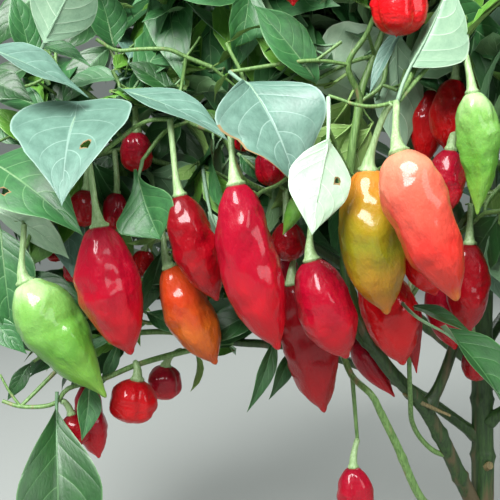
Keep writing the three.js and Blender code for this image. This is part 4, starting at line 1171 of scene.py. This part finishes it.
def grow_twig(twig, ends, girth, twigs):
    """Each fork shares the ends beyond it between two twigs. The straighter half goes on in the same twig."""
    start = twig["points"][-1]
    if len(ends) == 1:
        twig["points"].append(ends[0])
        twig["girths"].append(TWIG["end"])
        return
    forks = [start + (np.mean(ends, axis=0) - start) * share for share in FORK_SHARES]
    fork = next((point for point in forks if line_clear(start, point)), forks[0])
    thinner = max(TWIG["end"], girth * TWIG["taper"])
    twig["points"].append(fork)
    twig["girths"].append(girth)
    onward = unit(fork - start)
    aside, straight = sorted(halves(ends), key=lambda half: unit(np.mean(half, axis=0) - fork) @ onward)
    grow_twig(twig, straight, thinner, twigs)
    branch = {"points": [fork], "girths": [girth * TWIG["rooted"]], "from": twig}
    twigs.append(branch)
    grow_twig(branch, aside, thinner, twigs)


def hangs_on_shown(point):
    """Whether a listed twig already carries what is rooted at a point."""
    for _, _, _, bends in SHOWN_TWIGS:
        line, _ = spaced_along(bends, LISTED_STEPS["searched"])
        if np.linalg.norm(line - point, axis=1).min() < HELD_WITHIN:
            return True
    return False


def twigs_of(mass, name, draw):
    """The twigs of a mass, on smooth lines. Each one's used marks say where along it something is carried."""
    limb, _, _, count, _ = MASSES[name]
    (_, thin), bends = LIMBS[limb]
    tip = spaced_along(bends, 1)[0][-2:]
    heading = unit(tip[1] - tip[0])
    start = tip[1] + heading * SEAT_GAP
    listed = [fruit[3] for fruit in SHOWN_FRUITS if fruit[0] == name]
    listed += [leaf[1] for leaf in SHOWN_LEAVES.get(name, [])]
    carried = [np.array(point, float) for point in listed if not hangs_on_shown(point)]
    carried += [np.array(twig[3][0], float) for twig in SHOWN_TWIGS if twig[0] == name]
    carried = [point for point in carried if np.linalg.norm(point - start) > TWIG["run"]]
    stem = {"points": [start, start + heading * TWIG["run"]], "girths": [thin, TWIG["start"]], "from": None}
    twigs = [stem]
    grow_twig(stem, spread_ends(mass, count, draw) + carried, TWIG["start"], twigs)
    for twig in twigs:
        twig["line"], twig["marks"] = spaced_along(twig["points"], TWIG["step"])
        knots = np.linspace(0, twig["marks"][-1], len(twig["points"]))
        twig["wide"] = np.interp(twig["marks"], knots, twig["girths"])
        carries = any((twig["points"][-1] == end).all() for end in carried)
        twig["used"] = [twig["marks"][-1]] if carries else []
    return twigs


mass_draws = [draws(FIRST_SEED + i) for i in range(len(MASSES))]
mass_twigs = [twigs_of(i, name, mass_draws[i]) for i, name in enumerate(MASSES)]

# The fruits that grow deeper in the plant: each mass hangs a few of them from its twigs' lowest forks, by the
# same rule as its solids. Seven that peep out between leaves and fruits hang from the nearest twig above.
HUNG = {"least": 46, "most": 78, "slimness": 0.42, "lean": 0.2, "back": 8, "rise": 26, "reach": 1.5}
HUNG_RIPENESS = ("crimson", "dark_red", "crimson", "orange", "green", "olive", "crimson")
HUNG_FORMS = ("long", "pointed", "long")
HUNG_LOOKED_AT = (0, 0.25, 0.5, 0.75, 1)
INNER_SEEDS = {"hung": 100, "peeping": 200}
PEEPING_STALK = {"height": 18, "least": 6, "if too low": 99}
PEEPING = [  # ripeness, form, shoulder, drop, width
    ("crimson", "round", (-286, -30, 234), (2, 0, -17), 15),
    ("red", "round", (-240, -30, 239), (1, 0, -19), 16),
    ("crimson", "round", (-299, -30, 244), (1, 0, -13), 11),
    ("crimson", "round", (-254, -46, 277), (-3, 0, -24), 15),
    ("crimson", "round", (-174, -52, 323), (3, 0, -20), 14),
    ("dark_red", "round", (-21, -44, 178), (2, 0, -25), 16),
    ("red", "long", (-79, -102, 264), (18, 0, -46), 26),
]
hung = {ripeness: [] for ripeness in RIPENESS}
hung_stalks = []
for mass, (name, twigs) in enumerate(zip(MASSES, mass_twigs)):
    draw = mass_draws[mass]
    wanted = MASSES[name][-1]
    for twig in sorted(twigs[1:], key=lambda twig: twig["points"][0][2]):
        length = HUNG["least"] + (HUNG["most"] - HUNG["least"]) * next(draw)
        drop = drawn_offset(draw) * 2 * HUNG["lean"]
        drop[2] = -1
        drop = unit(drop) * length
        root = twig["points"][0]
        shoulder = root - (0, HUNG["back"], HUNG["rise"])
        places = [shoulder + drop * share for share in HUNG_LOOKED_AT]
        free = all(owns_point(mass, place, HUNG["reach"]) for place in places)
        free = free and all(clear_of_limbs(place) and clear_of_fruits(place) for place in places)
        if wanted and free:
            wanted -= 1
            number = len(hung_stalks)
            width = length * HUNG["slimness"]
            fruit_lines.append([shoulder, shoulder + drop, width / 2])
            ripeness = HUNG_RIPENESS[number % len(HUNG_RIPENESS)]
            form = HUNG_FORMS[number % len(HUNG_FORMS)]
            hung[ripeness].append(pepper_form(shoulder, drop, width, form, 0, INNER_SEEDS["hung"] + number))
            hung_stalks.append(stalk_form(root, shoulder, drop, width, False))
            spot = np.linalg.norm(twig["from"]["line"] - root, axis=1).argmin()
            twig["from"]["used"].append(twig["from"]["marks"][spot])
for ripeness, form, shoulder, drop, width in PEEPING:
    shoulder, drop = np.array(shoulder, float), np.array(drop, float)
    nearest = math.inf
    for twig in (twig for twigs in mass_twigs for twig in twigs):
        too_low = twig["line"][:, 2] < shoulder[2] + PEEPING_STALK["least"]
        gaps = np.linalg.norm(twig["line"] - shoulder - (0, 0, PEEPING_STALK["height"]), axis=1)
        gaps += PEEPING_STALK["if too low"] * too_low
        if gaps.min() < nearest:
            nearest, holder, spot = gaps.min(), twig, gaps.argmin()
    holder["used"].append(holder["marks"][spot])
    seed = INNER_SEEDS["peeping"] + len(hung_stalks)
    hung[ripeness].append(pepper_form(shoulder, drop, width, form, 0, seed))
    hung_stalks.append(stalk_form(holder["line"][spot], shoulder, drop, width, False))
    fruit_lines.append([shoulder, shoulder + drop, width / 2])
for ripeness, peppers in hung.items():
    if peppers:
        hang(f"inner_peppers_{ripeness}", peppers, [pepper_skins[ripeness]])
hang("inner_stalks", hung_stalks, [stalk_skin])

# The leaves that grow by rule, all over the plant: they sit along every twig and on short spurs, turned
# outwards and hanging aslant, with a few small, bright young ones at the twigs' ends. Geometry Nodes set one
# of six leaf shapes on each point. The grown leaves of one twig all have the same shade, drawn with more of
# the bright shades high up and more of the deep one low down, as painted light and painted shade.
LEAF = {"least": 44, "most": 84, "petiole": 15, "slimness": 0.52, "length": 70}
COARSE_MESH = (6, 2, 3)
LEAF_WAY = {"outward": 0.55, "droop": 0.4, "face up": 0.8}
LEAF_TRIES = 12
SPUR = {"gap": 10, "share": 0.65, "least": 10, "most": 28, "stray": 1.6, "bent": 4, "clear from": 6}
SPUR_GIRTHS = (0.9, 0.6)
FIRST_SPUR = 0.6  # of the gap
LEAF_ROOM = {"widest": 0.4, "along": (0.1, 0.7, 1)}
LEAF_FALL = {"foot": 1.0, "tip": -6.0}
WIDTH_STEP = 0.03
YOUNG = {"count": 3, "least": 0.3, "most": 0.55, "chance": 0.8}
SPACE_SHARES = {"leaf": 1.15, "spur": 0.97}  # how far out of its mass's space each may reach
SHADES = ("deep", "mid", "bright", "blue_green")
# Painted light and shade: twigs high in the crown draw brighter shades, as if lit from above, and low ones
# darker shades, as if in the crown's shade.
SHADE_CHANCES = {"low": (0.46, 0.86, 0.94), "high": (0.22, 0.66, 0.92)}  # where each shade's share ends
LIT_CROWN_FROM = 400
LEAF_HABITS = [
    {"fold": 0.25, "arch": 0.14, "wave": 0.04, "lobes": 0.1, "widest": 0.36},
    {"fold": 0.12, "arch": 0.22, "wave": 0.06, "lobes": 0.14, "widest": 0.3},
    {"fold": 0.4, "arch": 0.1, "wave": 0.03, "lobes": 0.05, "widest": 0.4},
    {"fold": 0.18, "arch": 0.3, "wave": 0.05, "lobes": 0.08, "widest": 0.34},
    {"fold": 0.5, "arch": 0.18, "wave": 0.06, "lobes": 0.06, "widest": 0.42},
    {"fold": 0.05, "arch": 0.16, "wave": 0.08, "lobes": 0.12, "widest": 0.32},
]
SPRAY_SEED = 400
IN_SIGHT = {"fruit": 0.68, "stalk": 0.3, "leaf": 0.36, "twig": 7}  # room in front of what is in full view
FRUIT_LOOKS = (-0.3, -0.12, 0.05, 0.3, 0.5, 0.75, 0.95)  # shares of its drop, from up on the stalk to the tip
LEAF_LOOKS = {0.15: (0,), 0.4: (-0.27, 0, 0.27), 0.65: (-0.27, 0, 0.27), 0.85: (0,)}  # along, and across

sight_points, sight_rooms = [], []
for _, _, _, _, shoulder, drop, width, _ in SHOWN_FRUITS:
    for share in FRUIT_LOOKS:
        sight_points.append(np.array(shoulder) + np.array(drop) * share)
        sight_rooms.append(width * (IN_SIGHT["stalk"] if share < 0 else IN_SIGHT["fruit"]))
for _, _, foot, tip, width, face, *_ in shown_leaves:
    foot, run = np.array(foot, float), np.array(tip, float) - foot
    across = unit(np.cross(run, face)) * width
    for share, asides in LEAF_LOOKS.items():
        for aside in asides:
            sight_points.append(foot + run * share + across * aside)
            sight_rooms.append(width * IN_SIGHT["leaf"])
for _, _, _, bends in SHOWN_TWIGS:
    for point in spaced_along(bends, LISTED_STEPS["seen"])[0]:
        sight_points.append(point)
        sight_rooms.append(IN_SIGHT["twig"])
sight_points, sight_rooms, eye = np.array(sight_points), np.array(sight_rooms), np.array(EYE, float)
sight_reaches = np.linalg.norm(sight_points - eye, axis=1)
sight_ways = (sight_points - eye) / sight_reaches[:, None]
box_low, box_high = (np.array(corner) / MM for corner in cad_box)


def hides_shown(point):
    """Whether a point stands between the viewer and a fruit, leaf or twig that is in full view."""
    run = point - eye
    along = sight_ways @ run
    aside = np.sqrt(np.maximum(run @ run - along**2, 0))
    return ((along < sight_reaches) & (aside < sight_rooms * along / sight_reaches)).any()


def is_open(mass, point, most):
    """Whether a leaf may reach a point: inside the plant's reach, and clear of limbs, fruits and the view."""
    shares = shares_of_reach(point)
    if shares.min() > 1 or shares[mass] > most or (point < box_low).any() or (point > box_high).any():
        return False
    return clear_of_limbs(point) and clear_of_fruits(point) and not hides_shown(point)


def drawn_leaf(mass, root, draw, scale=1.0):
    """A leaf that turns its upper side outwards and hangs aslant, drawn again until it has room, or None."""
    out = unit((root - mass_middles[mass]) / mass_reaches[mass])
    for _ in range(LEAF_TRIES):
        aside = drawn_offset(draw)
        aside = unit(aside - out * (aside @ out))
        way = unit(aside + out * LEAF_WAY["outward"] - UP * LEAF_WAY["droop"])
        length = (LEAF["least"] + (LEAF["most"] - LEAF["least"]) * next(draw)) * scale
        face = out + UP * LEAF_WAY["face up"] + drawn_offset(draw)
        across = unit(np.cross(way, face))
        foot = root + way * LEAF["petiole"] * scale
        middle = foot + way * length * LEAF_ROOM["widest"]
        edges = [middle + across * length * LEAF["slimness"] / 2 * side for side in (-1, 1)]
        reached = [foot + way * length * share for share in LEAF_ROOM["along"]]
        if all(is_open(mass, point, SPACE_SHARES["leaf"]) for point in (middle, *edges, *reached)):
            return across, way, np.cross(across, way), length + LEAF["petiole"] * scale
    return None


grown_leaves = {shade: [] for shade in SHADES}
twig_lines = []
for mass, twigs in enumerate(mass_twigs):
    draw = draws(SPRAY_SEED + mass)
    for twig in twigs:
        line, marks = twig["line"], twig["marks"]
        # the shade is drawn by height, as painted light and painted shade
        chances = SHADE_CHANCES["high" if line[-1][2] > LIT_CROWN_FROM else "low"]
        pick = next(draw)
        shade = SHADES[sum(pick > chance for chance in chances)]
        for mark in np.arange(SPUR["gap"] * FIRST_SPUR, marks[-1] + 1, SPUR["gap"]):
            spot = np.array([np.interp(mark, marks, line[:, axis]) for axis in range(3)])
            roots, spur = [spot], None
            if next(draw) < SPUR["share"]:
                out = unit((spot - mass_middles[mass]) / mass_reaches[mass])
                way = unit(out + SPUR["stray"] * drawn_offset(draw))
                end = spot + way * (SPUR["least"] + (SPUR["most"] - SPUR["least"]) * next(draw))
                bend = (spot + end) / 2 + drawn_offset(draw) * SPUR["bent"]
                clear_from = spot + way * SPUR["clear from"]
                if is_open(mass, end, SPACE_SHARES["spur"]) and line_clear(clear_from, end):
                    spur, _ = spaced_along([spot, bend, end], TWIG["step"])
                    roots = [bend, end, end]
            found = [(root, drawn_leaf(mass, root, draw)) for root in roots]
            found = [(root, leaf) for root, leaf in found if leaf]
            if found:
                twig["used"].append(mark)
            if found and spur is not None:
                twig_lines.append((spur, np.linspace(*SPUR_GIRTHS, len(spur))))
            for root, leaf in found:
                grown_leaves[shade].append((root, *leaf, int(next(draw) * len(LEAF_HABITS))))
        for _ in range(YOUNG["count"]):
            scale = YOUNG["least"] + (YOUNG["most"] - YOUNG["least"]) * next(draw)
            leaf = drawn_leaf(mass, line[-1], draw, scale)
            if leaf and next(draw) < YOUNG["chance"]:
                twig["used"].append(marks[-1])
                grown_leaves["bright"].append((line[-1], *leaf, int(next(draw) * len(LEAF_HABITS))))

for twigs in mass_twigs:
    for twig in reversed(twigs):
        kept = twig["marks"] <= max(twig["used"], default=-1) + TWIG["step"] / 2
        if kept.sum() > 1:
            twig_lines.append((twig["line"][kept], twig["wide"][kept]))
            if twig["from"]:
                spot = np.linalg.norm(twig["from"]["line"] - twig["points"][0], axis=1).argmin()
                twig["from"]["used"].append(twig["from"]["marks"][spot])
for _, thick, thin, bends in SHOWN_TWIGS:
    line, marks = spaced_along(bends, LISTED_STEPS["drawn"])
    twig_lines.append((line, thick + (thin - thick) * marks / marks[-1]))


def leaf_shapes():
    """The shapes of the leaves that grow by rule, each along +Y from its root with its upper side up."""
    shelf = bpy.data.collections.new("leaf_shapes")
    for i, habit in enumerate(LEAF_HABITS):
        foot = np.array((0.0, LEAF["petiole"], LEAF_FALL["foot"]))
        tip = np.array((0.0, LEAF["length"] + LEAF["petiole"], LEAF_FALL["tip"]))
        width = LEAF["length"] * (LEAF["slimness"] + WIDTH_STEP * (i % 3 - 1))
        form = leaf_form(np.zeros(3), foot, tip, width, UP, habit, *COARSE_MESH)
        mesh = mesh_of(f"leaf_shape_{i}", form, [])
        under = [slot == UNDER_SLOT for slot in form["slots"]]
        mesh.attributes.new("under_side", "BOOLEAN", "FACE").data.foreach_set("value", under)
        shelf.objects.link(bpy.data.objects.new(f"leaf_shape_{i}", mesh))
    return shelf


def spray_tree():
    """A leaf on every point, turned, sized and shaped as the point says."""
    kinds = {"Points": "Geometry", "Leaf Shapes": "Collection"}
    kinds |= {"Upper Side": "Material", "Under Side": "Material"}
    tree = new_tree("leaves_on_points", kinds, "Leaves")
    given = put(tree, "NodeGroupInput").outputs
    separate = {"Collection": given["Leaf Shapes"], "Separate Children": True, "Reset Children": True}
    shelf = put(tree, "GeometryNodeCollectionInfo", separate)
    turn = put(tree, "GeometryNodeInputNamedAttribute", {"Name": "turn"}, data_type="FLOAT_VECTOR")
    size = put(tree, "GeometryNodeInputNamedAttribute", {"Name": "size"}, data_type="FLOAT")
    shape = put(tree, "GeometryNodeInputNamedAttribute", {"Name": "shape"}, data_type="INT")
    placed = {
        "Points": given["Points"],
        "Instance": shelf,
        "Pick Instance": True,
        "Instance Index": shape.outputs["Attribute"],
        "Rotation": turn.outputs["Attribute"],
        "Scale": size.outputs["Attribute"],
    }
    spray = put(tree, "GeometryNodeInstanceOnPoints", placed)
    whole = put(tree, "GeometryNodeRealizeInstances", {"Geometry": spray})
    under = put(tree, "GeometryNodeInputNamedAttribute", {"Name": "under_side"}, data_type="BOOLEAN")
    coat = {"Geometry": whole, "Material": given["Upper Side"]}
    upper = put(tree, "GeometryNodeSetMaterial", coat)
    coat = {"Geometry": upper, "Selection": under.outputs["Attribute"], "Material": given["Under Side"]}
    dressed = put(tree, "GeometryNodeSetMaterial", coat)
    out = put(tree, "NodeGroupOutput")
    tree.links.new(dressed.outputs[0], out.inputs["Leaves"])
    return tree


shapes, leaf_sprays = leaf_shapes(), spray_tree()
for shade, leaves in grown_leaves.items():
    mesh = bpy.data.meshes.new(f"leaves_{shade}")
    mesh.from_pydata([Vector(leaf[0]) * MM for leaf in leaves], [], [])
    turns, sizes, kinds = [], [], []
    for _, across, way, upper, length, kind in leaves:
        turns += Matrix((across, way, upper)).transposed().to_euler()
        sizes.append(length / (LEAF["length"] + LEAF["petiole"]))
        kinds.append(kind)
    mesh.attributes.new("turn", "FLOAT_VECTOR", "POINT").data.foreach_set("vector", turns)
    mesh.attributes.new("size", "FLOAT", "POINT").data.foreach_set("value", sizes)
    mesh.attributes.new("shape", "INT", "POINT").data.foreach_set("value", kinds)
    upper_side, under_side, _ = leaf_skins[shade]
    inputs = {"Leaf Shapes": shapes, "Upper Side": upper_side, "Under Side": under_side}
    dress(grown_mesh(f"leaves_{shade}", mesh, leaf_sprays, inputs), foliage_nodes)

twig_inputs = dict(limb_inputs, Sides=TWIG_SIDES, Finish=twig_skin, Relief=0.0)
twigs = grown_mesh("twigs", lines_mesh("twigs", twig_lines), stem_tubes, twig_inputs)
dress(twigs, foliage_nodes)
